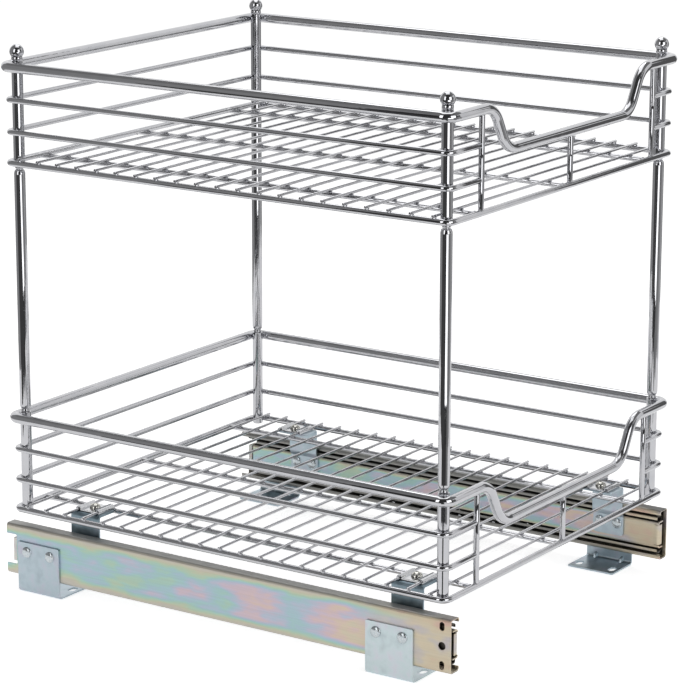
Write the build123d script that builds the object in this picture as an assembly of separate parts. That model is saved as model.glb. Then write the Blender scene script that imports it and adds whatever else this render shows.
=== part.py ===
from build123d import *
import os

# Two-tier pull-out wire organizer that stands on the floor of a cabinet.
# Millimetres, +Z up, the front (pull) side faces -Y, the origin is on the floor
# under the middle of the whole thing.

# Ball-bearing slides, one on each side
slide_length = 450.0
slide_height = 45.0
slide_thickness = 12.7
slide_side_gap = 9.0
slide_floor_gap = 14.0
running_gap = 0.3

outer_sheet = 1.2
outer_lip = 4.0
outer_web_bend = 2.6
outer_lip_bend = 2.8

middle_sheet = 1.0
middle_front_recess = 3.0
middle_rear_recess = 17.0
middle_web_inset = 2.8
middle_edge_inset = 0.5
middle_lip = 3.3
middle_bend = 1.9

inner_sheet = 1.2
inner_front_recess = 1.0
inner_rear_recess = 13.5
inner_web_height = 24.2
inner_flange_depth = 7.7
inner_bend = 2.4
front_tab_height = 18.0
front_tab_depth = 6.0
front_tab_root = 4.5

outer_ball_radius = 2.0
inner_ball_radius = 1.5
cage_sheet = 0.5
cage_length = 190.0
cage_bend = 1.0
cage_hole_gap = 0.1
cage_claw = 0.9
cage_web_gap = 0.5
inner_cage_web_gap = 0.3
balls_per_row = 6
ball_pitch = 36.0

# Holes and notch of the fixed member, with its rear bumper
end_hole_inset = 8.0
end_hole_radius = 2.9
end_slot_width = 3.6
end_slot_length = 6.2
end_slot_rise = 16.2
notch_depth = 11.0
notch_height = 26.6
notch_corner = 1.5
bumper_thickness = 4.0
bumper_height = 20.4
bumper_depth = 11.2
bumper_grip = 3.0
bumper_grip_depth = 2.0
bumper_edge = 0.8

# Foot brackets that carry the slides
foot_sheet = 1.6
foot_width = 45.0
foot_height = 45.0
foot_flange = 36.5
foot_bend = 3.6
foot_corner = 1.5
foot_front_inset = 56.5
foot_rear_inset = 35.5
foot_slot_length = 10.5
foot_slot_width = 6.0
foot_slot_inset = 25.5
foot_slot_pitch = 33.0
foot_gusset_pitch = 26.0
foot_gusset_width = 4.0
foot_gusset_leg = 5.0
foot_dent_width = 2.0
foot_rivet_pitch = 25.0

rivet_head_radius = 3.9
rivet_head_height = 1.6
rivet_shank_radius = 2.4
rivet_fit = 0.15

# Baskets: rails, wires and tubes
post_half_width = 170.0
post_end_inset = 15.0
post_radius = 4.75
tube_bore = 3.4
tube_overrun = 0.5
top_rail_radius = 4.25
side_rail_radius = 2.4
bottom_rail_radius = 2.7
cross_wire_radius = 1.25
runner_wire_radius = 2.25
upright_radius = 2.4
weld_gap = 0.05

bottom_rail_height = 73.3
lower_side_rail_rise = 26.0
upper_side_rail_rise = 53.1
top_rail_rise = 80.8
tier_rise = 301.0

cross_wire_count = 21
cross_wire_inset = 6.5
cross_wire_overhang = 2.6
runner_inset = 35.0
runner_shift = -2.5
upright_inset = 33.0
upright_shift = 4.5

scoop_drop = 36.3
scoop_inset = 52.0
scoop_run = 20.0
scoop_bend = 14.0

# Long posts between the tiers, and the ball finials
post_neck_radius = 3.0
post_bead_radius = 3.7
post_bead_edge = 1.8
post_bead_height = 2.4
post_shoulder_radius = 3.8
post_shoulder_step = 3.8
post_shoulder_rise = 6.6
spigot_length = 9.0
spigot_fit = 0.2
finial_ball_radius = 6.1
finial_collar_radius = 4.2
finial_collar_height = 1.5
finial_ball_rise = 12.3

# Basket brackets on the sliding members, and the clamps on the floor wires
bracket_sheet = 1.8
bracket_width = 30.0
bracket_foot_rise = 29.9
bracket_joggle = 2.5
bracket_joggle_rise = 48.2
bracket_joggle_run = 3.6
bracket_joggle_bend = 3.0
bracket_bend = 3.4
bracket_tab_reach = 22.8
bracket_corner = 3.0
bracket_rivet_pitch = 17.0
bracket_rivet_rise = 41.1
wires_before_front_clamp_count = 1
wires_behind_rear_clamp_count = 2

clamp_sheet = 1.2
clamp_length = 21.0
clamp_inset = 16.8
clamp_fit = 0.12
clamp_bend = 1.3
clamp_valley_bend = 1.4
clamp_lift = 0.6
screw_head_radius = 4.4
screw_head_height = 3.1
screw_shank_radius = 2.0
screw_tip = 2.2
screw_fit = 0.1

cut_overrun = 5.0

# Places worked out from the sizes above
post_half_depth = slide_length / 2 - post_end_inset
slide_face = post_half_width + slide_side_gap
slide_middle = slide_floor_gap + slide_height / 2
front_end = -slide_length / 2
rear_end = slide_length / 2
top_rail_offset = post_radius + top_rail_radius + weld_gap
side_rail_offset = post_radius + side_rail_radius + weld_gap
bottom_rail_offset = post_radius + bottom_rail_radius + weld_gap
basket_middle = front_end + post_half_depth + top_rail_offset + top_rail_radius
cross_wire_rise = bottom_rail_radius + weld_gap + cross_wire_radius
runner_rise = cross_wire_rise - cross_wire_radius - weld_gap - runner_wire_radius
runner_pitch = post_half_width - runner_inset
upright_pitch = post_half_width - upright_inset
scoop_top_half = post_half_width - scoop_inset
scoop_low_half = scoop_top_half - scoop_run
clamp_reach = slide_face - slide_thickness - clamp_inset
cross_wire_reach = post_half_depth - cross_wire_inset
cross_wire_pitch = cross_wire_reach * 2 / (cross_wire_count - 1)
front_clamp_reach = cross_wire_reach - cross_wire_pitch * wires_before_front_clamp_count
rear_clamp_reach = cross_wire_reach - cross_wire_pitch * wires_behind_rear_clamp_count
outer_ball_rise = slide_height / 2 - outer_sheet - running_gap - outer_ball_radius
outer_ball_depth = slide_thickness - outer_sheet - running_gap - outer_ball_radius
middle_half_height = outer_ball_rise - outer_ball_radius - running_gap
middle_edge = slide_thickness - middle_edge_inset
inner_ball_rise = middle_half_height - middle_sheet - running_gap - inner_ball_radius
inner_ball_depth = middle_edge - middle_sheet - running_gap - inner_ball_radius
tab_top = bottom_rail_height + cross_wire_rise - cross_wire_radius - weld_gap
rail_top_rise = top_rail_rise + top_rail_radius + tube_overrun
tube_low_rise = -bottom_rail_radius - tube_overrun
foot_places = (("front", front_end + foot_front_inset), ("rear", rear_end - foot_rear_inset))
bracket_places = (
    ("front", basket_middle - front_clamp_reach + cross_wire_pitch / 2),
    ("rear", basket_middle + rear_clamp_reach - cross_wire_pitch / 2),
)


def solids_of(shape):
    """Plain list of the separate solids in a shape."""
    return list(shape.solids())


def group(pieces):
    """One node that keeps its pieces as separate solids."""
    found = []
    for piece in pieces:
        found.extend(solids_of(piece))
    return found[0] if len(found) == 1 else Compound(children=found)


def write_node(name, shape):
    """Write one node to its own file."""
    export_step(shape, f"parts/{name}.step")


def opposite(shape):
    """The same piece on the right side."""
    return mirror(shape, about=Plane.YZ)


def round_bar(start, end, radius):
    """A straight round wire between two points."""
    line = Line(start, end)
    return sweep(Plane(origin=start, z_dir=line % 0) * Circle(radius), path=line)


def bent_bar(path, radius):
    """A round wire swept along a path of lines and tangent arcs."""
    wire = path.wire()
    return sweep(Plane(origin=wire @ 0, z_dir=wire % 0) * Circle(radius), path=wire)


def sheet_section(points, radii, thickness, side):
    """Cross-section of a bent sheet, given along one of its faces."""
    line = FilletPolyline(*points, radius=radii)
    return make_face(line.wire().offset_2d(thickness, side=side))


def run_along(section, x, y_front, length, z):
    """Extrude a section drawn in X and Z from y_front towards the rear."""
    plane = Plane(origin=(x, y_front + length, z), x_dir=(1, 0, 0), z_dir=(0, -1, 0))
    return extrude(plane * section, amount=length)


def left_depth(depth):
    """X of a place inside the left slide, counted from its outer face."""
    return -slide_face + depth


def sideways(x, y, z, way=1):
    """Plane that looks along X, with Y across it and Z up."""
    return Plane(origin=(x, y, z), x_dir=(0, 1, 0), z_dir=(way, 0, 0))


def domed_head(radius, height):
    """Shallow dome that stands on the XY plane."""
    ball = (radius**2 + height**2) / (2 * height)
    trim = Pos(0, 0, height / 2) * Cylinder(radius, height)
    return Pos(0, 0, height - ball) * Sphere(ball) & trim


# Slides


def outer_member():
    """Fixed C-shaped member with returned lips, end holes and a rear notch."""
    half = slide_height / 2
    points = [
        (slide_thickness, outer_lip - half),
        (slide_thickness, -half),
        (0, -half),
        (0, half),
        (slide_thickness, half),
        (slide_thickness, half - outer_lip),
    ]
    radii = [outer_lip_bend, outer_web_bend, outer_web_bend, outer_lip_bend]
    section = sheet_section(points, radii, outer_sheet, Side.RIGHT)
    member = run_along(section, -slide_face, front_end, slide_length, slide_middle)
    web = sideways(-slide_face, front_end + end_hole_inset, slide_middle)
    member -= extrude(web * Circle(end_hole_radius), amount=cut_overrun)
    for way in (-1, 1):
        slot = Pos(0, way * end_slot_rise) * SlotOverall(end_slot_length, end_slot_width, rotation=90)
        member -= extrude(web * slot, amount=cut_overrun)
    notch = RectangleRounded(notch_depth * 2, notch_height, notch_corner)
    return member - extrude(sideways(-slide_face, rear_end, slide_middle) * notch, amount=cut_overrun)


def middle_member():
    """Sliding C-shaped member between the fixed one and the basket's one."""
    half = middle_half_height
    points = [
        (middle_edge, middle_lip - half),
        (middle_edge, -half),
        (middle_web_inset, -half),
        (middle_web_inset, half),
        (middle_edge, half),
        (middle_edge, half - middle_lip),
    ]
    section = sheet_section(points, [middle_bend] * 4, middle_sheet, Side.RIGHT)
    length = slide_length - middle_front_recess - middle_rear_recess
    return run_along(
        section, -slide_face, front_end + middle_front_recess, length, slide_middle
    )


def inner_member():
    """Sliding channel that carries the baskets, with a tab bent across its front."""
    half = inner_web_height / 2
    flange_end = slide_thickness - inner_flange_depth
    points = [
        (flange_end, -half),
        (slide_thickness, -half),
        (slide_thickness, half),
        (flange_end, half),
    ]
    section = sheet_section(points, [inner_bend] * 2, inner_sheet, Side.LEFT)
    length = slide_length - inner_front_recess - inner_rear_recess
    front = front_end + inner_front_recess
    member = run_along(section, -slide_face, front, length, slide_middle)
    inner_face = left_depth(slide_thickness)
    window = Pos(inner_face, front, slide_middle) * Box(
        inner_bend * 2, front_tab_root * 2, front_tab_height
    )
    tab_points = [
        (inner_face, front + front_tab_root),
        (inner_face, front),
        (inner_face - front_tab_depth, front),
    ]
    tab_section = sheet_section(tab_points, [inner_bend], inner_sheet, Side.RIGHT)
    low = slide_middle - front_tab_height / 2
    tab = Pos(0, 0, low) * extrude(tab_section, amount=front_tab_height, dir=(0, 0, 1))
    return member - window + tab


def ball_places(depth, rise):
    """Centres of the balls of one raceway pair in the left slide."""
    places = []
    for row in (-1, 1):
        for index in range(balls_per_row):
            y = (index - (balls_per_row - 1) / 2) * ball_pitch
            places.append((left_depth(depth), y, slide_middle + row * rise))
    return places


def ball_cage(web_depth, ball_depth, ball_rise, ball_radius):
    """Bent strip with open notches that hold the balls at their places."""
    half = ball_rise + cage_sheet / 2
    edge = ball_depth + cage_claw
    points = [(edge, -half), (web_depth, -half), (web_depth, half), (edge, half)]
    section = sheet_section(points, [cage_bend] * 2, cage_sheet, Side.RIGHT)
    cage = run_along(section, -slide_face, -cage_length / 2, cage_length, slide_middle)
    hole = ball_radius + cage_hole_gap
    for x, y, z in ball_places(ball_depth, ball_rise):
        cage -= Pos(x, y, z) * Cylinder(hole, cage_sheet * 2)
    return cage


def bearing_balls(ball_depth, ball_rise, ball_radius):
    """The balls of one cage."""
    return group(Pos(*place) * Sphere(ball_radius) for place in ball_places(ball_depth, ball_rise))


def rear_bumper():
    """Plastic stop that grips the rear edge of the fixed member's web."""
    y_edge = rear_end - notch_depth
    stop = Pos(
        left_depth(bumper_depth / 2), y_edge + bumper_thickness / 2, slide_middle
    ) * Box(bumper_depth, bumper_thickness, bumper_height)
    stop = fillet(stop.edges().filter_by(Axis.X), bumper_edge)
    grip = Pos(
        left_depth(outer_sheet + bumper_grip_depth / 2),
        y_edge - bumper_grip / 2 + bumper_edge / 2,
        slide_middle,
    ) * Box(bumper_grip_depth, bumper_grip + bumper_edge, bumper_height - bumper_edge * 2)
    return stop + grip


# Foot brackets and rivets


def dome_rivet(face, x_way, y, z, depth):
    """Domed rivet: head outside the face, shank running into the sheets."""
    shank = Pos(0, 0, -depth / 2) * Cylinder(rivet_shank_radius, depth)
    head = domed_head(rivet_head_radius, rivet_head_height)
    return sideways(face, y, z, x_way) * (head + shank)


def gusset(face, y, low, high, width):
    """Three-cornered block across the bend of a foot, from low to high along both legs."""
    plane = Plane(origin=(face, y + width / 2, 0), x_dir=(1, 0, 0), z_dir=(0, -1, 0))
    outline = Polyline((low, high), (low, low), (high, low), close=True)
    return extrude(plane * make_face(outline), amount=width)


def foot_bracket(place):
    """Angle bracket: plate riveted to the slide, slotted flange on the floor."""
    face = -slide_face - foot_sheet
    points = [(0, foot_height), (0, 0), (foot_flange, 0)]
    section = sheet_section(points, [foot_bend], foot_sheet, Side.LEFT)
    foot = run_along(section, face, place - foot_width / 2, foot_width, 0)
    foot = fillet(foot.edges().filter_by(Axis.Z).sort_by(Axis.X)[-2:], foot_corner)
    foot = fillet(foot.edges().filter_by(Axis.X).sort_by(Axis.Z)[-2:], foot_corner)
    for way in (-1, 1):
        slot_place = (face + foot_slot_inset, place + way * foot_slot_pitch / 2, 0)
        slot = SlotOverall(foot_slot_length, foot_slot_width)
        foot -= Pos(*slot_place) * extrude(slot, amount=foot_sheet * 2, both=True)
        gusset_y = place + way * foot_gusset_pitch / 2
        foot += gusset(face, gusset_y, foot_sheet / 2, foot_sheet + foot_gusset_leg, foot_gusset_width)
        foot -= gusset(face, gusset_y, 0, foot_gusset_leg, foot_dent_width)
    rivet_places = [place + way * foot_rivet_pitch / 2 for way in (-1, 1)]
    return rivet_holes(foot, rivet_places, slide_middle, face, 1, foot_sheet)


def rivet_holes(sheet, places, z, face, x_way, depth):
    """Cut a bent sheet for its rivets, from one face into the metal."""
    hole = Circle(rivet_shank_radius + rivet_fit)
    for y in places:
        sheet -= extrude(sideways(face, y, z, x_way) * hole, amount=depth)
    return sheet


def pairs(places, pitch):
    """The Y places of two rivets at each bracket."""
    return [y + way * pitch / 2 for _, y in places for way in (-1, 1)]


# Basket brackets, clamps and screws


def screw_hole(place, z):
    """Cutter for the clamp screw, through a sheet at height z."""
    hole = Cylinder(screw_shank_radius + screw_fit, cut_overrun * 2)
    return Pos(-clamp_reach, place, z) * hole


def basket_bracket(place):
    """Joggled plate on the sliding member, with a tab under the floor wires."""
    inner_face = left_depth(slide_thickness)
    joggled = inner_face + bracket_joggle
    points = [
        (inner_face, bracket_foot_rise),
        (inner_face, bracket_joggle_rise),
        (joggled, bracket_joggle_rise + bracket_joggle_run),
        (joggled, tab_top),
        (joggled + bracket_tab_reach, tab_top),
    ]
    radii = [bracket_joggle_bend, bracket_joggle_bend, bracket_bend]
    section = sheet_section(points, radii, bracket_sheet, Side.RIGHT)
    bracket = run_along(section, 0, place - bracket_width / 2, bracket_width, 0)
    bracket = fillet(bracket.edges().filter_by(Axis.Z).sort_by(Axis.X)[-2:], bracket_corner)
    bracket = fillet(bracket.edges().filter_by(Axis.X).sort_by(Axis.Z)[:2], bracket_corner)
    bracket -= screw_hole(place, tab_top)
    rivet_places = [place + way * bracket_rivet_pitch / 2 for way in (-1, 1)]
    return rivet_holes(bracket, rivet_places, bracket_rivet_rise, inner_face, 1, bracket_sheet)


def wire_clamp(place):
    """Pressed clip that hooks over two floor wires beside its screw."""
    wire_z = bottom_rail_height + cross_wire_rise
    crest = wire_z + cross_wire_radius + clamp_fit
    valley = tab_top + clamp_lift
    foot = tab_top + clamp_fit
    near = cross_wire_pitch / 2 - cross_wire_radius - clamp_fit
    far = cross_wire_pitch / 2 + cross_wire_radius + clamp_fit
    points = [
        (-far, foot),
        (-far, crest),
        (-near, crest),
        (-near, valley),
        (near, valley),
        (near, crest),
        (far, crest),
        (far, foot),
    ]
    bends = [clamp_bend, clamp_bend, clamp_valley_bend, clamp_valley_bend, clamp_bend, clamp_bend]
    section = sheet_section(points, bends, clamp_sheet, Side.LEFT)
    plane = sideways(-clamp_reach - clamp_length / 2, place, 0)
    return extrude(plane * section, amount=clamp_length) - screw_hole(place, valley)


def clamp_screw(place):
    """Domed screw through the clamp into the tab."""
    seat = tab_top + clamp_lift + clamp_sheet
    shank_length = seat - tab_top + bracket_sheet + screw_tip
    shank = Pos(0, 0, -shank_length / 2) * Cylinder(screw_shank_radius, shank_length)
    head = domed_head(screw_head_radius, screw_head_height)
    return Pos(-clamp_reach, place, seat) * (head + shank)


# Baskets


def rail_corners(offset, z):
    """Corner points of a rail that runs round the outside of the posts."""
    x = post_half_width + offset
    front = basket_middle - post_half_depth - offset
    rear = basket_middle + post_half_depth + offset
    return [(-x, front, z), (-x, rear, z), (x, rear, z), (x, front, z)]


def top_rail(z):
    """Thick closed rail that dips in the middle of the front."""
    corners = rail_corners(top_rail_offset, z)
    front = corners[0][1]
    low = z - scoop_drop
    left_dip = [(-scoop_low_half, front, low), (-scoop_top_half, front, z)]
    right_dip = [(scoop_top_half, front, z), (scoop_low_half, front, low)]
    points = [(0, front, low)] + left_dip + corners + right_dip
    radii = [0] + [scoop_bend] * 2 + [top_rail_offset] * 4 + [scoop_bend] * 2
    return bent_bar(FilletPolyline(*points, radius=radii, close=True), top_rail_radius)


def side_rail(z):
    """Open rail round the back and sides that ends at the front uprights."""
    corners = rail_corners(side_rail_offset, z)
    front = corners[0][1]
    upright_side = upright_pitch + upright_radius + weld_gap
    left_end = (upright_shift - upright_side, front, z)
    right_end = (upright_shift + upright_side, front, z)
    path = FilletPolyline(left_end, *corners, right_end, radius=side_rail_offset)
    return bent_bar(path, side_rail_radius)


def bottom_rail(z):
    """Closed rail round the floor of a basket."""
    offset = bottom_rail_offset
    width = (post_half_width + offset) * 2
    depth = (post_half_depth + offset) * 2
    path = Pos(0, basket_middle, z) * RectangleRounded(width, depth, offset)
    return bent_bar(path.faces()[0].outer_wire(), bottom_rail_radius)


def cross_wires(z):
    """Thin floor wires from side to side, laid on the bottom rail."""
    reach = post_half_width + bottom_rail_offset + cross_wire_overhang
    height = z + cross_wire_rise
    bars = []
    for index in range(cross_wire_count):
        y = basket_middle - cross_wire_reach + index * cross_wire_pitch
        bars.append(round_bar((-reach, y, height), (reach, y, height), cross_wire_radius))
    return group(bars)


def runner_wires(z):
    """Three wires from front to back under the floor wires."""
    reach = post_half_depth + bottom_rail_offset - bottom_rail_radius - weld_gap
    bars = []
    for index in (-1, 0, 1):
        x = runner_shift + index * runner_pitch
        start = (x, basket_middle - reach, z + runner_rise)
        end = (x, basket_middle + reach, z + runner_rise)
        bars.append(round_bar(start, end, runner_wire_radius))
    return group(bars)


def front_uprights(z):
    """Two tall uprights beside the scoop and a short one in its middle."""
    y = basket_middle - post_half_depth - bottom_rail_offset
    low = z + bottom_rail_radius + weld_gap
    high = z + top_rail_rise - top_rail_radius - weld_gap
    bars = []
    for index in (-1, 0, 1):
        x = upright_shift + index * upright_pitch
        top = high if index else high - scoop_drop
        bars.append(round_bar((x, y, low), (x, y, top), upright_radius))
    return group(bars)


def corner_tubes(z):
    """Four short tubes that the rails wrap, bored for the posts' spigots."""
    low = z + tube_low_rise
    height = rail_top_rise - tube_low_rise
    tubes = []
    for x in (-post_half_width, post_half_width):
        for y in (-post_half_depth, post_half_depth):
            tube = Circle(post_radius) - Circle(tube_bore)
            tubes.append(Pos(x, basket_middle + y, low) * extrude(tube, amount=height))
    return group(tubes)


def turned(points):
    """Solid of revolution about +Z from an outline of radius and height."""
    outline = Polyline(*[(r, 0, z) for r, z in points], close=True)
    return revolve(make_face(outline), axis=Axis.Z)


def long_post():
    """Post between the tiers, necked at both ends, with a spigot in each tube."""
    low = bottom_rail_height + rail_top_rise
    high = bottom_rail_height + tier_rise + tube_low_rise
    spigot = tube_bore - spigot_fit
    half = [
        (0, -spigot_length),
        (spigot, -spigot_length),
        (spigot, 0),
        (post_bead_radius, 0),
        (post_bead_radius, post_bead_edge),
        (post_neck_radius, post_bead_height),
        (post_shoulder_radius, post_shoulder_step),
        (post_radius, post_shoulder_rise),
    ]
    lower = [(r, low + h) for r, h in half]
    upper = [(r, high - h) for r, h in reversed(half)]
    return turned(lower + upper)


def finial():
    """Ball on a short collar that closes the top of an upper tube."""
    seat = bottom_rail_height + tier_rise + rail_top_rise
    centre = bottom_rail_height + tier_rise + top_rail_rise + finial_ball_rise
    spigot = tube_bore - spigot_fit
    collar_top = seat + finial_collar_height
    stem = turned(
        [
            (0, seat - spigot_length),
            (spigot, seat - spigot_length),
            (spigot, seat),
            (finial_collar_radius, seat),
            (finial_collar_radius, collar_top),
            (0, collar_top),
        ]
    )
    return stem + Pos(0, 0, centre) * Sphere(finial_ball_radius)


def build():
    """Build every node of the organizer."""
    os.makedirs("parts", exist_ok=True)
    nodes = {}

    web_rivets = pairs(foot_places, foot_rivet_pitch)
    fixed = rivet_holes(outer_member(), web_rivets, slide_middle, -slide_face, 1, outer_sheet)
    carrier_rivets = pairs(bracket_places, bracket_rivet_pitch)
    inner_face = left_depth(slide_thickness)
    sliding = rivet_holes(
        inner_member(), carrier_rivets, bracket_rivet_rise, inner_face, -1, inner_sheet
    )
    outer_web = outer_sheet + cage_web_gap
    inner_web = middle_web_inset + middle_sheet + inner_cage_web_gap
    slide_pieces = {
        "outer_slide_member": fixed,
        "middle_slide_member": middle_member(),
        "inner_slide_member": sliding,
        "outer_ball_cage": ball_cage(outer_web, outer_ball_depth, outer_ball_rise, outer_ball_radius),
        "outer_bearing_balls": bearing_balls(outer_ball_depth, outer_ball_rise, outer_ball_radius),
        "inner_ball_cage": ball_cage(inner_web, inner_ball_depth, inner_ball_rise, inner_ball_radius),
        "inner_bearing_balls": bearing_balls(inner_ball_depth, inner_ball_rise, inner_ball_radius),
        "rear_bumper": rear_bumper(),
    }
    for name, piece in slide_pieces.items():
        nodes[f"left_{name}"] = piece
        nodes[f"right_{name}"] = opposite(piece)

    for name, make, places in (
        ("foot_bracket", foot_bracket, foot_places),
        ("basket_bracket", basket_bracket, bracket_places),
        ("wire_clamp", wire_clamp, bracket_places),
    ):
        for end, place in places:
            piece = make(place)
            nodes[f"{end}_left_{name}"] = piece
            nodes[f"{end}_right_{name}"] = opposite(piece)

    foot_face = -slide_face - foot_sheet
    foot_rivets = [
        dome_rivet(foot_face, -1, y, slide_middle, foot_sheet + outer_sheet) for y in web_rivets
    ]
    bracket_face = inner_face + bracket_sheet
    bracket_rivets = [
        dome_rivet(bracket_face, 1, y, bracket_rivet_rise, bracket_sheet + inner_sheet)
        for y in carrier_rivets
    ]
    screws = [clamp_screw(place) for _, place in bracket_places]
    for name, pieces in (
        ("foot_rivets", foot_rivets),
        ("basket_bracket_rivets", bracket_rivets),
        ("clamp_screws", screws),
    ):
        nodes[name] = group(pieces + [opposite(piece) for piece in pieces])

    for tier, z in (("lower", bottom_rail_height), ("upper", bottom_rail_height + tier_rise)):
        nodes[f"{tier}_basket_top_rail"] = top_rail(z + top_rail_rise)
        nodes[f"{tier}_basket_upper_side_rail"] = side_rail(z + upper_side_rail_rise)
        nodes[f"{tier}_basket_lower_side_rail"] = side_rail(z + lower_side_rail_rise)
        nodes[f"{tier}_basket_bottom_rail"] = bottom_rail(z)
        nodes[f"{tier}_basket_cross_wires"] = cross_wires(z)
        nodes[f"{tier}_basket_runner_wires"] = runner_wires(z)
        nodes[f"{tier}_basket_corner_tubes"] = corner_tubes(z)
        nodes[f"{tier}_basket_front_uprights"] = front_uprights(z)

    for side, x in (("left", -post_half_width), ("right", post_half_width)):
        for end, y in (("front", -post_half_depth), ("rear", post_half_depth)):
            nodes[f"{end}_{side}_post"] = Pos(x, basket_middle + y, 0) * long_post()
            nodes[f"{end}_{side}_ball_finial"] = Pos(x, basket_middle + y, 0) * finial()

    for name, shape in nodes.items():
        write_node(name, shape)


build()
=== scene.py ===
import logging
import math
from dataclasses import dataclass
from enum import Enum
from typing import Any, Callable, Iterable, Sequence

import bmesh
import bpy
from bpy.types import Material, Mesh, Node, NodeTree, Object, World
from mathutils import Matrix, Vector


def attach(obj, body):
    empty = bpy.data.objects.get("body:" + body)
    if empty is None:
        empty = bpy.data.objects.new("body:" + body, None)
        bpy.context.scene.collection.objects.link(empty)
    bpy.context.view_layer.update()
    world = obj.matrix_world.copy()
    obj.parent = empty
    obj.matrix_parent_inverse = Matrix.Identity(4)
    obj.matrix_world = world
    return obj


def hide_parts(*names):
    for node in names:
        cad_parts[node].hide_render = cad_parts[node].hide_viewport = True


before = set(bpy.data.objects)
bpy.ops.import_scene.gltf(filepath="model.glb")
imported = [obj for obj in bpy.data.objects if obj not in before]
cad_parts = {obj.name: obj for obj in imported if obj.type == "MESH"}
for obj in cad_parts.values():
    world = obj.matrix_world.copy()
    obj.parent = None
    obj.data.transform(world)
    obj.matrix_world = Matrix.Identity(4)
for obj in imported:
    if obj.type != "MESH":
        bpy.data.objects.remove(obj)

LOG = logging.getLogger("organizer")
MM = 0.001
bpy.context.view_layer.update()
UP = Vector((0.0, 0.0, 1.0))
WHITE = "FFFFFF"
# Largest angle between faces, in degrees, that shades as one surface.
SMOOTH = 38.0
# Rounding of a bar's cut end: how far in, and how much thinner, as shares of the rounding.
CUT_END = ((0.0, 1.0), (0.3, 0.3), (1.0, 0.0))
# Rounding of a sheet's or moulding's edges, but for its width.
BEVEL = {"segments": 2, "limit_method": "ANGLE", "angle_limit": math.radians(50.0)}

Point = tuple[float, float, float]
Flat = tuple[float, float]
Stops = tuple[tuple[float, str], ...]
# Two values of something, and the result at each.
Limits = tuple[float, float, float, float]
# Turns two coordinates of a section and a depth into a point in space.
Place = Callable[[float, float, float], Vector]


class Named(Enum):
    """Option that the frame spells in lower case."""

    @property
    def word(self) -> str:
        """Name of the option as the frame spells it."""
        return self.name.lower()


class Side(Named):
    """Side of the organizer, seen from the front; the value is the sign of X."""

    LEFT = -1
    RIGHT = 1


class End(Named):
    """End of the organizer; the value is the sign of Y."""

    FRONT = -1
    REAR = 1


class Tier(Named):
    """One of the two baskets; the value is the height of its bottom rail's middle, in mm."""

    LOWER = 73.3
    UPPER = 374.3


class Axis(Enum):
    """Axis that a section is drawn out along; the value is its number in a vector."""

    X = 0
    Y = 1
    Z = 2


# Colour and material helpers


def linear(hex_text: str) -> tuple[float, float, float, float]:
    """Turn an sRGB hex colour into Blender's linear colour.

    Args:
        hex_text: six hex digits.

    Returns:
        The linear red, green, blue and an alpha of one.
    """
    parts = [int(hex_text[start:start + 2], 16) / 255 for start in (0, 2, 4)]
    red, green, blue = (
        part / 12.92 if part <= 0.04045 else ((part + 0.055) / 1.055) ** 2.4 for part in parts)
    return (red, green, blue, 1.0)


def add_node(tree: NodeTree, kind: str, inputs: Sequence[Any] | dict[str, Any] = (), **settings: Any) -> Node:
    """Add a shader node with its settings, values and links.

    Args:
        tree: node tree that gets the node.
        kind: Blender's type name of the node, without its first word.
        inputs: what goes into its sockets, in their order or by name: a value, a socket, or a node for that
            node's first output.
        settings: properties of the node itself.

    Returns:
        The new node.
    """
    node = tree.nodes.new("ShaderNode" + kind)
    for name, value in settings.items():
        setattr(node, name, value)
    if isinstance(inputs, dict):
        pairs = [(node.inputs[name], value) for name, value in inputs.items()]
    else:
        pairs = list(zip([socket for socket in node.inputs if socket.enabled], inputs))
    for socket, value in pairs:
        if isinstance(value, Node):
            value = next(output for output in value.outputs if output.enabled)
        if isinstance(value, bpy.types.NodeSocket):
            tree.links.new(value, socket)
        else:
            socket.default_value = value
    return node


def set_ramp(node: Node, stops: Stops) -> Node:
    """Give a Color Ramp node its stops.

    Args:
        node: the node.
        stops: place and sRGB hex colour of each stop, in order.

    Returns:
        The same node.
    """
    elements = node.color_ramp.elements
    while len(elements) < len(stops):
        elements.new(1.0)
    for element, (place, colour) in zip(elements, stops):
        element.position = place
        element.color = linear(colour)
    return node


def empty_tree(owner: Material | World) -> NodeTree:
    """Give a material or world an empty node tree.

    Args:
        owner: the material or world.

    Returns:
        Its node tree.
    """
    owner.use_nodes = True
    owner.node_tree.nodes.clear()
    return owner.node_tree


@dataclass(frozen=True)
class Pattern:
    """Noise over a piece, with cells of a real size in mm along X, Y and Z, moved by a number of cells."""

    size_mm: Point
    detail: float
    shift: Point = (0.0, 0.0, 0.0)

    def add(self, tree: NodeTree) -> Node:
        """Add the pattern to a material.

        Args:
            tree: node tree of the material.

        Returns:
            Node that gives the pattern's value.
        """
        where = add_node(tree, "TexCoord").outputs["Object"]
        scale = [1 / (size * MM) for size in self.size_mm]
        cells = add_node(tree, "Mapping", {"Vector": where, "Location": self.shift, "Scale": scale})
        return add_node(tree, "TexNoise", (cells, 1.0, self.detail, 0.5))


# Finishes


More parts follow.
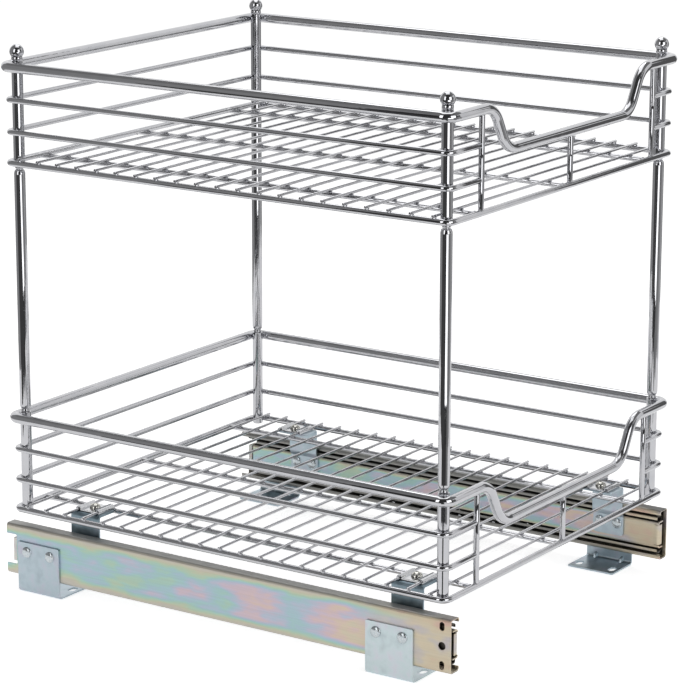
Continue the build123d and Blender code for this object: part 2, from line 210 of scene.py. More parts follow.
@dataclass(frozen=True)
class Finish:
    """A surface finish, with a slot name that nothing in the script reads.

    Clouds vary the colour by the stops. The haze pattern sets the roughness, and the grain the relief; the
    clouds do both where there is none. Rough holds two pattern values and the roughness at each.
    """

    name: str
    slot: str
    stops: Stops
    clouds: Pattern
    rough: Limits
    relief_mm: float
    relief_share: float
    haze: Pattern | None = None
    grain: Pattern | None = None
    metallic: float = 1.0
    further: tuple[tuple[str, float], ...] = ()

    def material(self) -> Material:
        """The finish's material, made when it is first asked for."""
        found = bpy.data.materials.get(self.name)
        if found:
            return found
        material = bpy.data.materials.new(self.name)
        tree = empty_tree(material)
        clouds = self.clouds.add(tree)
        haze = self.haze.add(tree) if self.haze else clouds
        normal = add_node(tree, "Bump", {
            "Height": self.height(tree, clouds), "Distance": self.relief_mm * MM,
            "Strength": self.relief_share,
        })
        shader = add_node(tree, "BsdfPrincipled", {
            "Base Color": self.colour(tree, clouds), "Metallic": self.metallic, "Normal": normal,
            "Roughness": add_node(tree, "MapRange", (haze, *self.rough)), **dict(self.further),
        })
        add_node(tree, "OutputMaterial", (shader,))
        return material

    def colour(self, tree: NodeTree, clouds: Node) -> Node:
        """Colour of the surface."""
        return set_ramp(add_node(tree, "ValToRGB", (clouds,)), self.stops)

    def height(self, tree: NodeTree, clouds: Node) -> Node:
        """Height of the relief, from zero to one."""
        return self.grain.add(tree) if self.grain else clouds


@dataclass(frozen=True)
class BrightChrome(Finish):
    """Nickel-chrome electroplate over drawn steel wire: a mirror that is a little darker than silver.

    Faint draw lines and slow ripples break the long streaks of light. Real draw lines are about 0.05 mm
    apart, too fine to show, and are drawn ten times as coarse.
    """

    name: str = "bright_chrome_on_drawn_wire"
    slot: str = "bright_chrome"
    stops: Stops = ((0.3, "C0C1C5"), (0.7, "C8C8CB"))
    clouds: Pattern = Pattern((14.0, 14.0, 14.0), 2.0)
    haze: Pattern = Pattern((5.0, 5.0, 5.0), 3.0)
    rough: Limits = (0.35, 0.75, 0.021, 0.0665)
    grain: Pattern = Pattern((9.0, 9.0, 9.0), 1.0, (3.1, 0.4, 1.7))
    relief_mm: float = 0.06
    relief_share: float = 0.5
    draw_lines: Pattern = Pattern((0.5, 0.5, 0.5), 1.0)
    draw_share: float = 0.05

    def height(self, tree: NodeTree, clouds: Node) -> Node:
        """Slow ripples with the draw lines on them."""
        lines = add_node(tree, "Math", (self.draw_lines.add(tree), self.draw_share), operation="MULTIPLY")
        return add_node(tree, "Math", (self.grain.add(tree), lines), operation="ADD")


@dataclass(frozen=True)
class YellowZinc(Finish):
    """Rolled steel, zinc plated and yellow passivated: tan metal with a rainbow film in the open web."""

    name: str = "yellow_zinc_on_rolled_steel"
    slot: str = "yellow_zinc_slide"
    # Colour of the film by its thickness.
    stops: Stops = (
        (0.0, "CDC8BF"), (0.1, "D2CCB9"), (0.19, "CBD2B8"), (0.29, "B9D5C0"), (0.4, "ADD2D0"),
        (0.5, "B4CCDA"), (0.6, "C6C9DA"), (0.69, "D6C4D3"), (0.79, "E0C8C1"), (0.89, "DDD0B7"),
        (1.0, "D4D1BE"),
    )
    # Streaks along the rolling direction, wider than the real ones of about 0.2 mm so that they show.
    clouds: Pattern = Pattern((20.0, 70.0, 1.6), 3.0)
    streak_stops: Stops = ((0.3, "F4F3F1"), (0.7, WHITE))
    rough: Limits = (0.3, 0.7, 0.32, 0.46)
    relief_mm: float = 0.03
    relief_share: float = 0.25
    metallic: float = 0.85
    patches: Pattern = Pattern((90.0, 46.0, 14.0), 3.0, (0.0, 2.3, 1.1))
    drips: Pattern = Pattern((30.0, 34.0, 14.0), 2.0, (0.7, 0.2, 0.4))
    drip_stops: Stops = ((0.34, "C9C3C4"), (0.46, "D8CDB6"), (0.56, "D8C9B0"), (0.66, "D9BBAC"))
    # Near black, mixed in as painted shade over the ball races and the right slide's top and bottom bends;
    # the races also hold lubricant.
    grease: str = "2A2824"
    burnished: str = "838586"
    middle_mm: float = 36.5
    race_mm: float = 172.7
    # Half height of a web by how far it is from the middle: two distances and the half height at each.
    web_reach: Limits = (168.0, 177.0, 11.5, 20.6)
    # Name, what it goes by, two values of that, and the result at each. Places are in mm.
    masks: tuple[tuple[str, str, float, float, float, float], ...] = (
        ("rise", "share", 0.64, 0.98, 0.45, 0.0),
        ("crown", "share", 0.0, 0.6, 0.08, 0.0),
        ("inside", "share", 0.66, 1.05, 1.0, 0.2),
        ("drift", "patches", 0.36, 0.64, -0.19, 0.2),
        ("rear", "y", 60.0, 190.0, 0.0, -0.07),
        ("front", "y", -180.0, 0.0, 0.34, 0.0),
        ("dripped", "y", -200.0, -130.0, 1.0, 0.0),
        # Race masks: painted shade in the ball races between the webs, which also hold lubricant.
        ("race", "off_race", 5.5, 5.8, 0.92, 0.0),
        ("race_height", "off_middle", 20.6, 21.2, 1.0, 0.0),
        ("track", "off_middle", 8.6, 11.2, 0.0, 1.0),
        ("front_shade_band", "y", -206.0, -202.0, 1.0, 0.0),
        ("unshaded_tip", "y", -222.6, -222.0, 0.0, 1.0),
        # Painted shade over the right slide's top and bottom bends.
        ("painted_top_shade", "off_middle", 21.3, 22.0, 0.0, 0.8),
        ("right_side", "x", 168.5, 169.5, 0.0, 1.0),
        ("bend", "off_middle", 21.3, 22.2, 0.0, 0.78),
        ("lip", "off_middle", 11.8, 12.6, 0.0, 0.75),
        ("lip_across", "across", 170.5, 171.5, 1.0, 0.0),
        ("lip_along", "y", -205.0, -130.0, 0.0, 1.0),
    )
    # How the masks come together: result, operation, and the two that it takes.
    recipe: tuple[tuple[str, str, str, str], ...] = (
        ("ends", "ADD", "rear", "front"), ("change", "ADD", "drift", "ends"),
        ("change", "MULTIPLY", "change", "inside"), ("film", "ADD", "rise", "crown"),
        ("film", "ADD", "film", "change"), ("race", "MULTIPLY", "race", "race_height"),
        ("front_shade_band", "MAXIMUM", "track", "front_shade_band"), ("race", "MULTIPLY", "race", "front_shade_band"),
        ("race", "MULTIPLY", "race", "unshaded_tip"), ("painted_top_shade", "MULTIPLY", "painted_top_shade", "right_side"),
        ("shade_and_grease_share", "MAXIMUM", "race", "painted_top_shade"), ("lip", "MULTIPLY", "lip", "lip_across"),
        ("lip", "MULTIPLY", "lip", "lip_along"), ("burnish", "MAXIMUM", "bend", "lip"),
    )

    def colour(self, tree: NodeTree, clouds: Node) -> Node:
        """Film colour by its thickness, which grows away from the bends and drifts in long patches.

        The ball races between the webs carry painted shade over their lubricant, and the right slide's top
        and bottom bends carry painted shade. The rolled bends are burnished, and the front ends have
        dried drips.

        Args:
            tree: node tree of the material.
            clouds: node that gives the streaks.

        Returns:
            Node that gives the colour.
        """
        where = add_node(tree, "TexCoord").outputs["Object"]
        in_mm = add_node(tree, "VectorMath", {"Vector": where, "Scale": 1 / MM}, operation="SCALE")
        x, y, z = add_node(tree, "SeparateXYZ", (in_mm,)).outputs
        above = add_node(tree, "Math", (z, self.middle_mm), operation="SUBTRACT")
        off_middle = add_node(tree, "Math", (above,), operation="ABSOLUTE")
        across = add_node(tree, "Math", (x,), operation="ABSOLUTE")
        beyond_race = add_node(tree, "Math", (across, self.race_mm), operation="SUBTRACT")
        off_race = add_node(tree, "Math", (beyond_race,), operation="ABSOLUTE")
        reach = add_node(tree, "MapRange", (across, *self.web_reach))
        share = add_node(tree, "Math", (off_middle, reach), operation="DIVIDE")
        values = {"x": x, "y": y, "off_middle": off_middle, "across": across, "off_race": off_race,
                  "share": share, "patches": self.patches.add(tree)}
        for name, source, *limits in self.masks:
            values[name] = add_node(tree, "MapRange", (values[source], *limits))
        for name, operation, first, second in self.recipe:
            values[name] = add_node(tree, "Math", (values[first], values[second]), operation=operation)
        film = set_ramp(add_node(tree, "ValToRGB", (values["film"],)), self.stops)
        film.color_ramp.interpolation = "B_SPLINE"
        dried = set_ramp(add_node(tree, "ValToRGB", (self.drips.add(tree),)), self.drip_stops)
        streaked = set_ramp(add_node(tree, "ValToRGB", (clouds,)), self.streak_stops)
        shade = add_node(tree, "Mix", (values["dripped"], film, dried), data_type="RGBA")
        shade = add_node(tree, "Mix", (1.0, shade, streaked), data_type="RGBA", blend_type="MULTIPLY")
        # Mix in the burnished grey, then the near-black painted shade.
        for share, hex_text in (("burnish", self.burnished), ("shade_and_grease_share", self.grease)):
            shade = add_node(tree, "Mix", (values[share], shade, linear(hex_text)), data_type="RGBA")
        return shade


@dataclass(frozen=True)
class BlueZinc(Finish):
    """Bent steel sheet with clear blue zinc: pale blue-grey metal, faintly cloudy, with a crystal grain."""

    name: str = "clear_blue_zinc_on_sheet"
    slot: str = "blue_zinc_bracket"
    stops: Stops = ((0.28, "A9B7C0"), (0.5, "B9C8D0"), (0.62, "BFC8D2"), (0.75, "C3C2D0"))
    clouds: Pattern = Pattern((11.0, 11.0, 11.0), 3.0)
    rough: Limits = (0.3, 0.7, 0.28, 0.42)
    # Real crystals are a few hundredths of a mm wide; these are as coarse as they need to be to show.
    grain: Pattern = Pattern((0.9, 0.9, 0.9), 2.0)
    relief_mm: float = 0.03
    relief_share: float = 0.2
    metallic: float = 0.9


@dataclass(frozen=True)
class Plated(Finish):
    """Small plated fastener or pressing: bright metal with small hazy patches from barrel plating."""

    clouds: Pattern = Pattern((1.6, 1.6, 1.6), 3.0)
    rough: Limits = (0.3, 0.7, 0.14, 0.32)
    relief_mm: float = 0.02
    relief_share: float = 0.1


@dataclass(frozen=True)
class MouldedNylon(Finish):
    """Injection-moulded natural nylon: milky, half-matt plastic with faint flow clouds.

    The spark-eroded texture is real at about 0.05 mm, and is drawn ten times as coarse so that it shows.
    """

    name: str = "moulded_natural_nylon"
    slot: str = "white_nylon"
    stops: Stops = ((0.3, "DEDED9"), (0.7, "ECEBE5"))
    clouds: Pattern = Pattern((7.0, 7.0, 7.0), 2.0)
    rough: Limits = (0.3, 0.7, 0.38, 0.5)
    grain: Pattern = Pattern((0.5, 0.5, 0.5), 1.0)
    relief_mm: float = 0.03
    relief_share: float = 0.3
    metallic: float = 0.0
    further: tuple[tuple[str, float], ...] = (("Subsurface Weight", 0.15), ("Subsurface Scale", 1.5 * MM))


CHROME = BrightChrome()
SLIDE_ZINC = YellowZinc()
BRACKET_ZINC = BlueZinc()
# The same blue zinc darkened as painted shade, for the left brackets, which sit in shade.
SHADED_BRACKET_ZINC = BlueZinc("deep_blue_zinc_on_joggled_plate", stops=(
    (0.28, "71828B"), (0.5, "8597A1"), (0.62, "93A4AF"), (0.75, "9C9FB0")))
# The same blue zinc lightened as painted light, for the left front foot.
LIT_FOOT_ZINC = BlueZinc("pale_blue_zinc_on_front_foot", stops=(
    (0.28, "BCC9CD"), (0.5, "CCDADD"), (0.62, "D2DAE0"), (0.75, "D5D4DD")))
NYLON = MouldedNylon()
RIVET = Plated("clear_zinc_on_rivet", "plated_rivet", ((0.3, "B9C3C9"), (0.7, "D5DADC")))
CLAMP = Plated("nickel_on_pressed_clip", "nickel_clamp", ((0.3, "C6C8CB"), (0.7, "DFE0E2")),
               rough=(0.3, 0.7, 0.091, 0.208))
SCREW = Plated("nickel_on_screw_head", "plated_screw", ((0.3, "BDBCB6"), (0.7, "DAD9D2")),
               rough=(0.3, 0.7, 0.07, 0.16))
CAGE = Plated("greased_steel_strip", "plain_steel_strip", ((0.3, "72736F"), (0.7, "9A9A96")),
              Pattern((2.4, 2.4, 2.4), 3.0), (0.3, 0.7, 0.238, 0.544))
BALL = Plated("polished_bearing_ball", "hardened_steel_ball", ((0.3, "B9BBBE"), (0.7, "CFD0D2")),
              Pattern((1.2, 1.2, 1.2), 3.0), (0.3, 0.7, 0.042, 0.096))


# Mesh helpers


def bent_path(points: Sequence[Sequence[float]], bends: Sequence[float], closed: bool = False,
              step: float = 9.0) -> list[Vector]:
    """Points along straight runs joined by round bends.

    Args:
        points: corner points, in two or three dimensions.
        bends: bend radius at each inner corner, or at every corner of a closed path.
        closed: whether the last corner runs on to the first.
        step: degrees of bend between two points.

    Returns:
        The points, without a repeat of the first.
    """
    corners = [Vector(point) for point in points]
    radii = list(bends) if closed else [0.0, *bends, 0.0]
    result = []
    for index, (corner, radius) in enumerate(zip(corners, radii)):
        if radius <= 0:
            result.append(corner)
            continue
        back = (corners[index - 1] - corner).normalized()
        ahead = (corners[(index + 1) % len(corners)] - corner).normalized()
        turn = math.pi - back.angle(ahead)
        centre = corner + (back + ahead).normalized() * (radius / math.cos(turn / 2))
        start, finish = (corner + way * (radius * math.tan(turn / 2)) - centre for way in (back, ahead))
        count = max(2, math.ceil(math.degrees(turn) / step))
        for share in (arc / count for arc in range(count + 1)):
            part = start * math.sin((1 - share) * turn) + finish * math.sin(share * turn)
            result.append(centre + part / math.sin(turn))
    return result


def drawn(axis: Axis, first: float = 0.0, second: float = 0.0) -> Place:
    """Place for a section that is drawn out along an axis.

    Args:
        axis: the axis; the section lies in the other two.
        first: origin of the section along the first of them.
        second: origin along the second.

    Returns:
        Function of the section's two coordinates and the depth.
    """
    def place(u: float, v: float, depth: float) -> Vector:
        """Place a point of the section.

        Args:
            u: its first coordinate.
            v: its second coordinate.
            depth: how far it is drawn out.

        Returns:
            The point in space.
        """
        point = [first + u, second + v]
        point.insert(axis.value, depth)
        return Vector(point)
    return place


def circle(radius: float, sides: int = 20) -> list[Flat]:
    """Corner points of a round outline."""
    angles = [math.tau * index / sides for index in range(sides)]
    return [(radius * math.cos(angle), radius * math.sin(angle)) for angle in angles]


def slot_outline(half_length: float, half_width: float, steps: int = 8) -> list[Flat]:
    """Outline of a slot with round ends, long along the second coordinate.

    Args:
        half_length: half of the slot's overall length.
        half_width: half of its width.
        steps: edges of each round end.

    Returns:
        Its corner points, in order.
    """
    reach = half_length - half_width
    points = []
    for end, first in ((1, 0.0), (-1, math.pi)):
        for angle in (first + math.pi * step / steps for step in range(steps + 1)):
            points.append((half_width * math.cos(angle), end * reach + half_width * math.sin(angle)))
    return points


def corner_clip(radius: float, way: int, steps: int = 6, past: float = 0.4) -> list[Flat]:
    """Outline of what is cut off a corner to round it.

    Args:
        radius: radius of the rounded corner.
        way: sign of the first coordinate on the corner's outside.
        steps: edges of the rounding.
        past: how far the cut reaches past the corner.

    Returns:
        Outline, counted from the corner.
    """
    points = [(past * way, -radius), (past * way, past), (-radius * way, past), (-radius * way, 0.0)]
    for angle in (math.pi / 2 * (1 - step / steps) for step in range(1, steps)):
        points.append(((radius * math.cos(angle) - radius) * way, radius * math.sin(angle) - radius))
    return [*points, (0.0, -radius)]


def swapped(outline: Iterable[Flat]) -> list[Flat]:
    """The outline with its two coordinates exchanged."""
    return [(v, u) for u, v in outline]


class MeshParts:
    """Collects the faces of one piece, in millimetres, and turns them into a mesh in metres."""

    def __init__(self) -> None:
        """Start with nothing."""
        self.points: list[Vector] = []
        self.faces: list[tuple[int, ...]] = []

    def add(self, points: Iterable[Vector], faces: Iterable[Sequence[int]]) -> None:
        """Add points and the faces between them.

        Args:
            points: the new points.
            faces: corner numbers of each face, counted from the first new point.
        """
        base = len(self.points)
        self.points.extend(points)
        self.faces.extend(tuple(base + index for index in face) for face in faces)

    def skin(self, points: Iterable[Vector], rings: Sequence[Sequence[int]],
             caps: Iterable[Sequence[int]] = ()) -> None:
        """Add faces between rings of points.

        Args:
            points: all the points.
            rings: numbers of each ring's points, as many in each; a tip repeats its one point.
            caps: further faces.
        """
        faces = []
        for low, high in zip(rings, rings[1:]):
            for here, beside in zip(range(len(low)), (*range(1, len(low)), 0)):
                face = tuple(dict.fromkeys((low[here], low[beside], high[beside], high[here])))
                if len(face) > 2:
                    faces.append(face)
        self.add(points, [*faces, *caps])

    def tube(self, path: Sequence[Vector], radius: float, sides: int = 16, closed: bool = False,
             edge: float = 0.35) -> None:
        """Add a round bar along a path.

        Args:
            path: points of its middle line.
            radius: radius of the bar.
            sides: flats round the bar.
            closed: whether the last point runs on to the first.
            edge: rounding of the cut ends.
        """
        last = len(path) - 1
        ways = []
        for index in range(len(path)):
            before = path[index - 1] if closed or index else path[0]
            after = path[(index + 1) % len(path)] if closed or index < last else path[last]
            ways.append((after - before).normalized())
        aside = ways[0].orthogonal().normalized()
        stations = []
        for index, (point, way) in enumerate(zip(path, ways)):
            if index:
                aside = ways[index - 1].rotation_difference(way) @ aside
            stations.append((point, way, aside, radius))
        if not closed:
            lead, tail = (
                [(point + way * (sign * edge * inset), way, aside, radius - edge * cut)
                 for inset, cut in CUT_END]
                for sign, (point, way, aside, _) in ((1, stations[0]), (-1, stations[-1]))
            )
            stations = [*lead, *stations[1:-1], *reversed(tail)]
        points = [corner for station in stations for corner in ring(*station, sides)]
        rings = [range(start, start + sides) for start in range(0, len(points), sides)]
        self.skin(points, [*rings, rings[0]] if closed else rings, () if closed else (rings[0], rings[-1]))

    def turned(self, profile: Sequence[Flat], middle: Vector, sides: int, way: Vector = UP) -> None:
        """Add a turned shape.

        Args:
            profile: radius and height of its outline, from the bottom to the top, open at both ends or closed
                where the radius is zero.
            middle: point at height zero.
            sides: flats round it.
            way: direction of its height.
        """
        aside = way.orthogonal().normalized()
        points: list[Vector] = []
        rings: list[Sequence[int]] = []
        for radius, height in profile:
            first = len(points)
            if radius > 0:
                points += ring(middle + way * height, way, aside, radius, sides)
                rings.append(range(first, first + sides))
            else:
                points.append(middle + way * height)
                rings.append([first] * sides)
        self.skin(points, rings)

    def blob(self, middle: Point, sizes: Point, sides: int = 10) -> None:
        """Add a small rounded lump, such as a weld.

        Args:
            middle: its middle.
            sizes: half sizes along X, Y and Z.
            sides: flats round it.
        """
        angles = [math.pi * row / (sides // 2) for row in range(1, sides // 2)]
        rows = [(math.sin(angle), -math.cos(angle)) for angle in angles]
        ball = MeshParts()
        ball.turned([(0.0, -1.0), *rows, (0.0, 1.0)], Vector(), sides)
        self.add([Vector(middle) + point * Vector(sizes) for point in ball.points], ball.faces)

    def sheet(self, path: Sequence[Vector], thickness: float, place: Place, start: float,
              length: float) -> None:
        """Add a bent sheet of even thickness.

        Args:
            path: points along one face of its section, in two dimensions.
            thickness: thickness of the sheet, to the left of the path, or to its right if negative.
            place: where the section goes.
            start: depth of one end.
            length: length between the ends.
        """
        count = len(path)
        runs = [(after - before).normalized() for before, after in zip(path, path[1:])]
        offset = []
        for point, back, ahead in zip(path, (runs[0], *runs), (*runs, runs[-1])):
            way = (back + ahead).normalized()
            offset.append(point + Vector((-way.y, way.x)) * (thickness / max(0.5, back.dot(way))))
        points = [place(*point, depth) for depth in (start, start + length) for point in (*path, *offset)]
        loop = [*range(count), *reversed(range(count, count * 2))]
        caps = [(here + 1, here, here + count, here + count + 1)
                for base in (0, count * 2) for here in range(base, base + count - 1)]
        self.skin(points, (loop, [index + count * 2 for index in loop]), caps)

    def prism(self, outline: Sequence[Sequence[float]], place: Place, low: float, high: float) -> None:
        """Add a closed prism, such as one that cuts a hole.

        Args:
            outline: its outline.
            place: where the outline goes.
            low: depth of one end.
            high: depth of the other end.
        """
        count = len(outline)
        rings = (range(count), range(count, count * 2))
        self.skin([place(*point, depth) for depth in (low, high) for point in outline], rings, rings)

    def mesh(self, side: Side = Side.LEFT, smooth: float = SMOOTH) -> Mesh:
        """Make the mesh, with outward faces and smooth shading between shallow angles.

        Args:
            side: the right side is the mirror image of what was drawn.
            smooth: largest angle between faces that shades as one surface, in degrees.

        Returns:
            The mesh, in metres.
        """
        mesh = bpy.data.meshes.new("part")
        points = [(-side.value * point.x * MM, point.y * MM, point.z * MM) for point in self.points]
        mesh.from_pydata(points, [], self.faces)
        finish_mesh(mesh, smooth)
        return mesh

    def shaped(self, bevel_mm: float, side: Side = Side.LEFT, cuts: "MeshParts | None" = None,
               smooth: float = SMOOTH) -> Mesh:
        """Make the mesh with holes cut out of it and its edges rounded.

        Args:
            bevel_mm: width of the rounding along sharp edges.
            side: the right side is the mirror image of what was drawn.
            cuts: closed shapes to cut away.
            smooth: largest angle that shades as one surface, in degrees.

        Returns:
            The mesh, in metres.
        """
        setups: list[tuple[str, dict[str, Any]]] = []
        if cuts:
            tool = bpy.data.objects.new("tool", cuts.mesh(side))
            bpy.context.scene.collection.objects.link(tool)
            setups.append(("BOOLEAN", {"operation": "DIFFERENCE", "solver": "EXACT", "object": tool}))
        if bevel_mm:
            setups.append(("BEVEL", {"width": bevel_mm * MM, **BEVEL}))
        result = modified(self.mesh(side, smooth), setups)
        if cuts:
            bpy.data.objects.remove(tool)
        finish_mesh(result, smooth)
        return flat_faces_flat(result)


def ring(middle: Vector, way: Vector, aside: Vector, radius: float, sides: int) -> list[Vector]:
    """Points of a circle in space.

    Args:
        middle: its middle.
        way: direction of its axis.
        aside: direction of its first point.
        radius: its radius.
        sides: number of points.

    Returns:
        The points, in order.
    """
    up = way.cross(aside)
    return [middle + aside * x + up * y for x, y in circle(radius, sides)]


def straight_bars(runs: Iterable[tuple[Point, Point]], radius: float, sides: int, edge: float) -> MeshParts:
    """Straight round bars of one thickness.

    Args:
        runs: both ends of each bar's middle line.
        radius: radius of the bars.
        sides: flats round them.
        edge: rounding of the cut ends.

    Returns:
        What the bars are made of.
    """
    parts = MeshParts()
    for run in runs:
        parts.tube([Vector(end) for end in run], radius, sides, edge=edge)
    return parts


def finish_mesh(mesh: Mesh, smooth: float, more: Mesh | None = None) -> None:
    """Turn faces outward and set where the shading breaks.

    Args:
        mesh: the mesh.
        smooth: largest angle that shades as one surface, in degrees.
        more: mesh whose faces are added first.
    """
    work = bmesh.new()
    work.from_mesh(mesh)
    if more:
        work.from_mesh(more)
    bmesh.ops.recalc_face_normals(work, faces=work.faces)
    for face in work.faces:
        face.smooth = True
    for edge in work.edges:
        edge.smooth = len(edge.link_faces) == 2 and edge.calc_face_angle() < math.radians(smooth)
    work.to_mesh(mesh)
    work.free()
    mesh.update()


def modified(mesh: Mesh, setups: Iterable[tuple[str, dict[str, Any]]]) -> Mesh:
    """Put a mesh through modifiers.

    Args:
        mesh: the mesh.
        setups: type and settings of each modifier, in order.

    Returns:
        The new mesh.
    """
    work = bpy.data.objects.new("work", mesh)
    bpy.context.scene.collection.objects.link(work)
    for kind, settings in setups:
        modifier = work.modifiers.new(kind, kind)
        for name, value in settings.items():
            setattr(modifier, name, value)
    bpy.context.view_layer.update()
    result = bpy.data.meshes.new_from_object(work.evaluated_get(bpy.context.evaluated_depsgraph_get()))
    bpy.data.objects.remove(work)
    return result


def flat_faces_flat(mesh: Mesh) -> Mesh:
    """The mesh with normals weighed by face size, so that large flat faces shade flat up to their bends."""
    return modified(mesh, [("WEIGHTED_NORMAL", {"keep_sharp": True, "weight": 100})])


def join_meshes(first: Mesh, second: Mesh) -> Mesh:
    """One mesh with the faces of two."""
    finish_mesh(first, SMOOTH, second)
    return flat_faces_flat(first)


def add_piece(name: str, mesh: Mesh, body: str, finish: Finish, *nodes: str) -> None:
    """Put a piece into the scene on its body.

    Args:
        name: name of the piece.
        mesh: its mesh.
        body: body that it rides.
        finish: its finish.
        nodes: nodes of the frame that it stands for.
    """
    mesh.name = name
    piece = bpy.data.objects.new(name, mesh)
    bpy.context.scene.collection.objects.link(piece)
    mesh.materials.clear()
    mesh.materials.append(finish.material())
    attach(piece, body)
    if nodes:
        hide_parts(*nodes)
    LOG.info("%s: %d faces on %s, for %s", name, len(mesh.polygons), body, ", ".join(nodes) or "no node")


def dress(node: str, finish: Finish) -> None:
    """Give a node of the frame its finish.

    Args:
        node: name of the node.
        finish: its finish.
    """
    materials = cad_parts[node].data.materials
    if not materials:
        materials.append(None)
    for index in range(len(materials)):
        materials[index] = finish.material()
    LOG.info("%s: dressed in %s", node, finish.name)


# Sub-assemblies; all sizes are in mm


@dataclass(kw_only=True)
class Layout:
    """Sizes that more than one sub-assembly goes by."""

    half_width: float = 170.0
    half_depth: float = 210.0
    middle_y: float = -1.7
    slide_z: float = 36.5
    foot_places: Flat = (-168.5, 189.5)
    foot_rivet_pitch: float = 25.0
    bracket_places: Flat = (-174.675, 150.925)
    bracket_rivet_pitch: float = 17.0
    bracket_rivet_z: float = 41.1
    rivet_hole: float = 2.55
    screw_x: float = 149.5
    wire_pitch: float = 20.35
    wire_radius: float = 1.25
    spigot_radius: float = 3.2
    spigot_length: float = 9.0
    # How far cutters reach outside and inside the sheet's outer face.
    through: Flat = (2.0, 4.0)
    edge_round: float = 0.16


@dataclass
class Basket(Layout):
    """Wire basket of one tier: rails, wires, tubes, uprights and their welds."""

    tier: Tier
    top_offset: float = 9.05
    side_offset: float = 7.2
    low_offset: float = 7.5
    top_radius: float = 4.25
    side_radius: float = 2.4
    low_radius: float = 2.7
    runner_radius: float = 2.25
    upright_radius: float = 2.4
    tube_radius: float = 4.75
    tube_bore: float = 3.4
    tube_edge: float = 0.35
    top_rise: float = 80.8
    side_rises: Flat = (26.0, 53.1)
    cross_rise: float = 4.0
    runner_rise: float = 0.45
    tube_low: float = -3.2
    tube_high: float = 85.55
    cross_count: int = 21
    cross_overhang: float = 2.6
    runner_pitch: float = 135.0
    runner_shift: float = -2.5
    upright_pitch: float = 137.0
    upright_shift: float = 4.5
    scoop_drop: float = 36.3
    scoop_top_half: float = 118.0
    scoop_low_half: float = 98.0
    scoop_bend: float = 22.0
    weld_gap: float = 0.05
    weld_bite: float = 0.1
    # Half sizes of the welds.
    floor_weld: Point = (2.1, 1.9, 0.95)
    runner_weld: Point = (1.7, 1.6, 0.6)
    runner_end_weld: Point = (2.7, 0.8, 2.5)
    upright_foot_weld: Point = (3.0, 2.3, 0.9)
    upright_top_weld: Point = (2.9, 2.3, 0.8)
    rail_end_weld: Point = (0.8, 2.3, 2.6)

    @property
    def base(self) -> float:
        """Height of the bottom rail's middle."""
        return self.tier.value

    @property
    def front_y(self) -> float:
        """Y of the bottom rail's front run."""
        return self.middle_y - self.half_depth - self.low_offset

    @property
    def cross_places(self) -> list[float]:
        """Y places of the floor wires."""
        first = self.middle_y - self.wire_pitch * (self.cross_count - 1) / 2
        return [first + self.wire_pitch * index for index in range(self.cross_count)]

    @property
    def runner_places(self) -> list[float]:
        """X places of the wires under the floor."""
        return [self.runner_shift + index * self.runner_pitch for index in (-1, 0, 1)]

    @property
    def upright_places(self) -> list[Flat]:
        """X place and top height of each front upright."""
        high = self.base + self.top_rise - self.top_radius - self.weld_gap
        drops = ((-1, 0.0), (0, self.scoop_drop), (1, 0.0))
        return [(self.upright_shift + index * self.upright_pitch, high - drop) for index, drop in drops]

    def corners(self, offset: float, z: float) -> list[Point]:
        """Corner points of a rail round the posts, from the left front.

        Args:
            offset: distance of the rail's middle from the posts' middles.
            z: its height.

        Returns:
            Four corner points.
        """
        x = self.half_width + offset
        front, rear = (self.middle_y + way * (self.half_depth + offset) for way in (-1, 1))
        return [(-x, front, z), (-x, rear, z), (x, rear, z), (x, front, z)]

    def top_rail(self) -> MeshParts:
        """Thick closed rail with the dip in its front."""
        z = self.base + self.top_rise
        corners = self.corners(self.top_offset, z)
        front, low = corners[0][1], z - self.scoop_drop
        points = [
            (0, front, low), (-self.scoop_low_half, front, low), (-self.scoop_top_half, front, z), *corners,
            (self.scoop_top_half, front, z), (self.scoop_low_half, front, low),
        ]
        scoop = [self.scoop_bend] * 2
        path = bent_path(points, [0, *scoop, *[self.top_offset] * 4, *scoop], closed=True, step=6.0)
        parts = MeshParts()
        parts.tube(path, self.top_radius, 28, closed=True)
        return parts

    def side_rail(self, rise: float) -> MeshParts:
        """Open rail round the sides and back.

        Args:
            rise: its height above the bottom rail.

        Returns:
            What the rail is made of.
        """
        z = self.base + rise
        corners = self.corners(self.side_offset, z)
        reach = self.upright_pitch + self.upright_radius + self.weld_gap
        first, last = ((self.upright_shift + way * reach, corners[0][1], z) for way in (-1, 1))
        parts = MeshParts()
        path = bent_path([first, *corners, last], [self.side_offset] * 4)
        parts.tube(path, self.side_radius, 20, edge=0.2)
        return parts

    def bottom_rail(self) -> MeshParts:
        """Closed rail that carries the floor wires."""
        parts = MeshParts()
        path = bent_path(self.corners(self.low_offset, self.base), [self.low_offset] * 4, closed=True)
        parts.tube(path, self.low_radius, 20, closed=True)
        return parts

    def cross_wires(self) -> MeshParts:
        """Thin floor wires from side to side."""
        reach = self.half_width + self.low_offset + self.cross_overhang
        z = self.base + self.cross_rise
        return straight_bars([((-reach, y, z), (reach, y, z)) for y in self.cross_places],
                             self.wire_radius, 14, 0.35)

    def runner_wires(self) -> MeshParts:
        """Three wires from front to back under the floor wires."""
        reach = self.half_depth + self.low_offset - self.low_radius - self.weld_gap
        front, rear, z = self.middle_y - reach, self.middle_y + reach, self.base + self.runner_rise
        return straight_bars([((x, front, z), (x, rear, z)) for x in self.runner_places],
                             self.runner_radius, 18, 0.3)

    def uprights(self) -> MeshParts:
        """Front uprights between the bottom rail and the top rail."""
        y, low = self.front_y, self.base + self.low_radius + self.weld_gap
        return straight_bars([((x, y, low), (x, y, top)) for x, top in self.upright_places],
                             self.upright_radius, 20, 0.3)

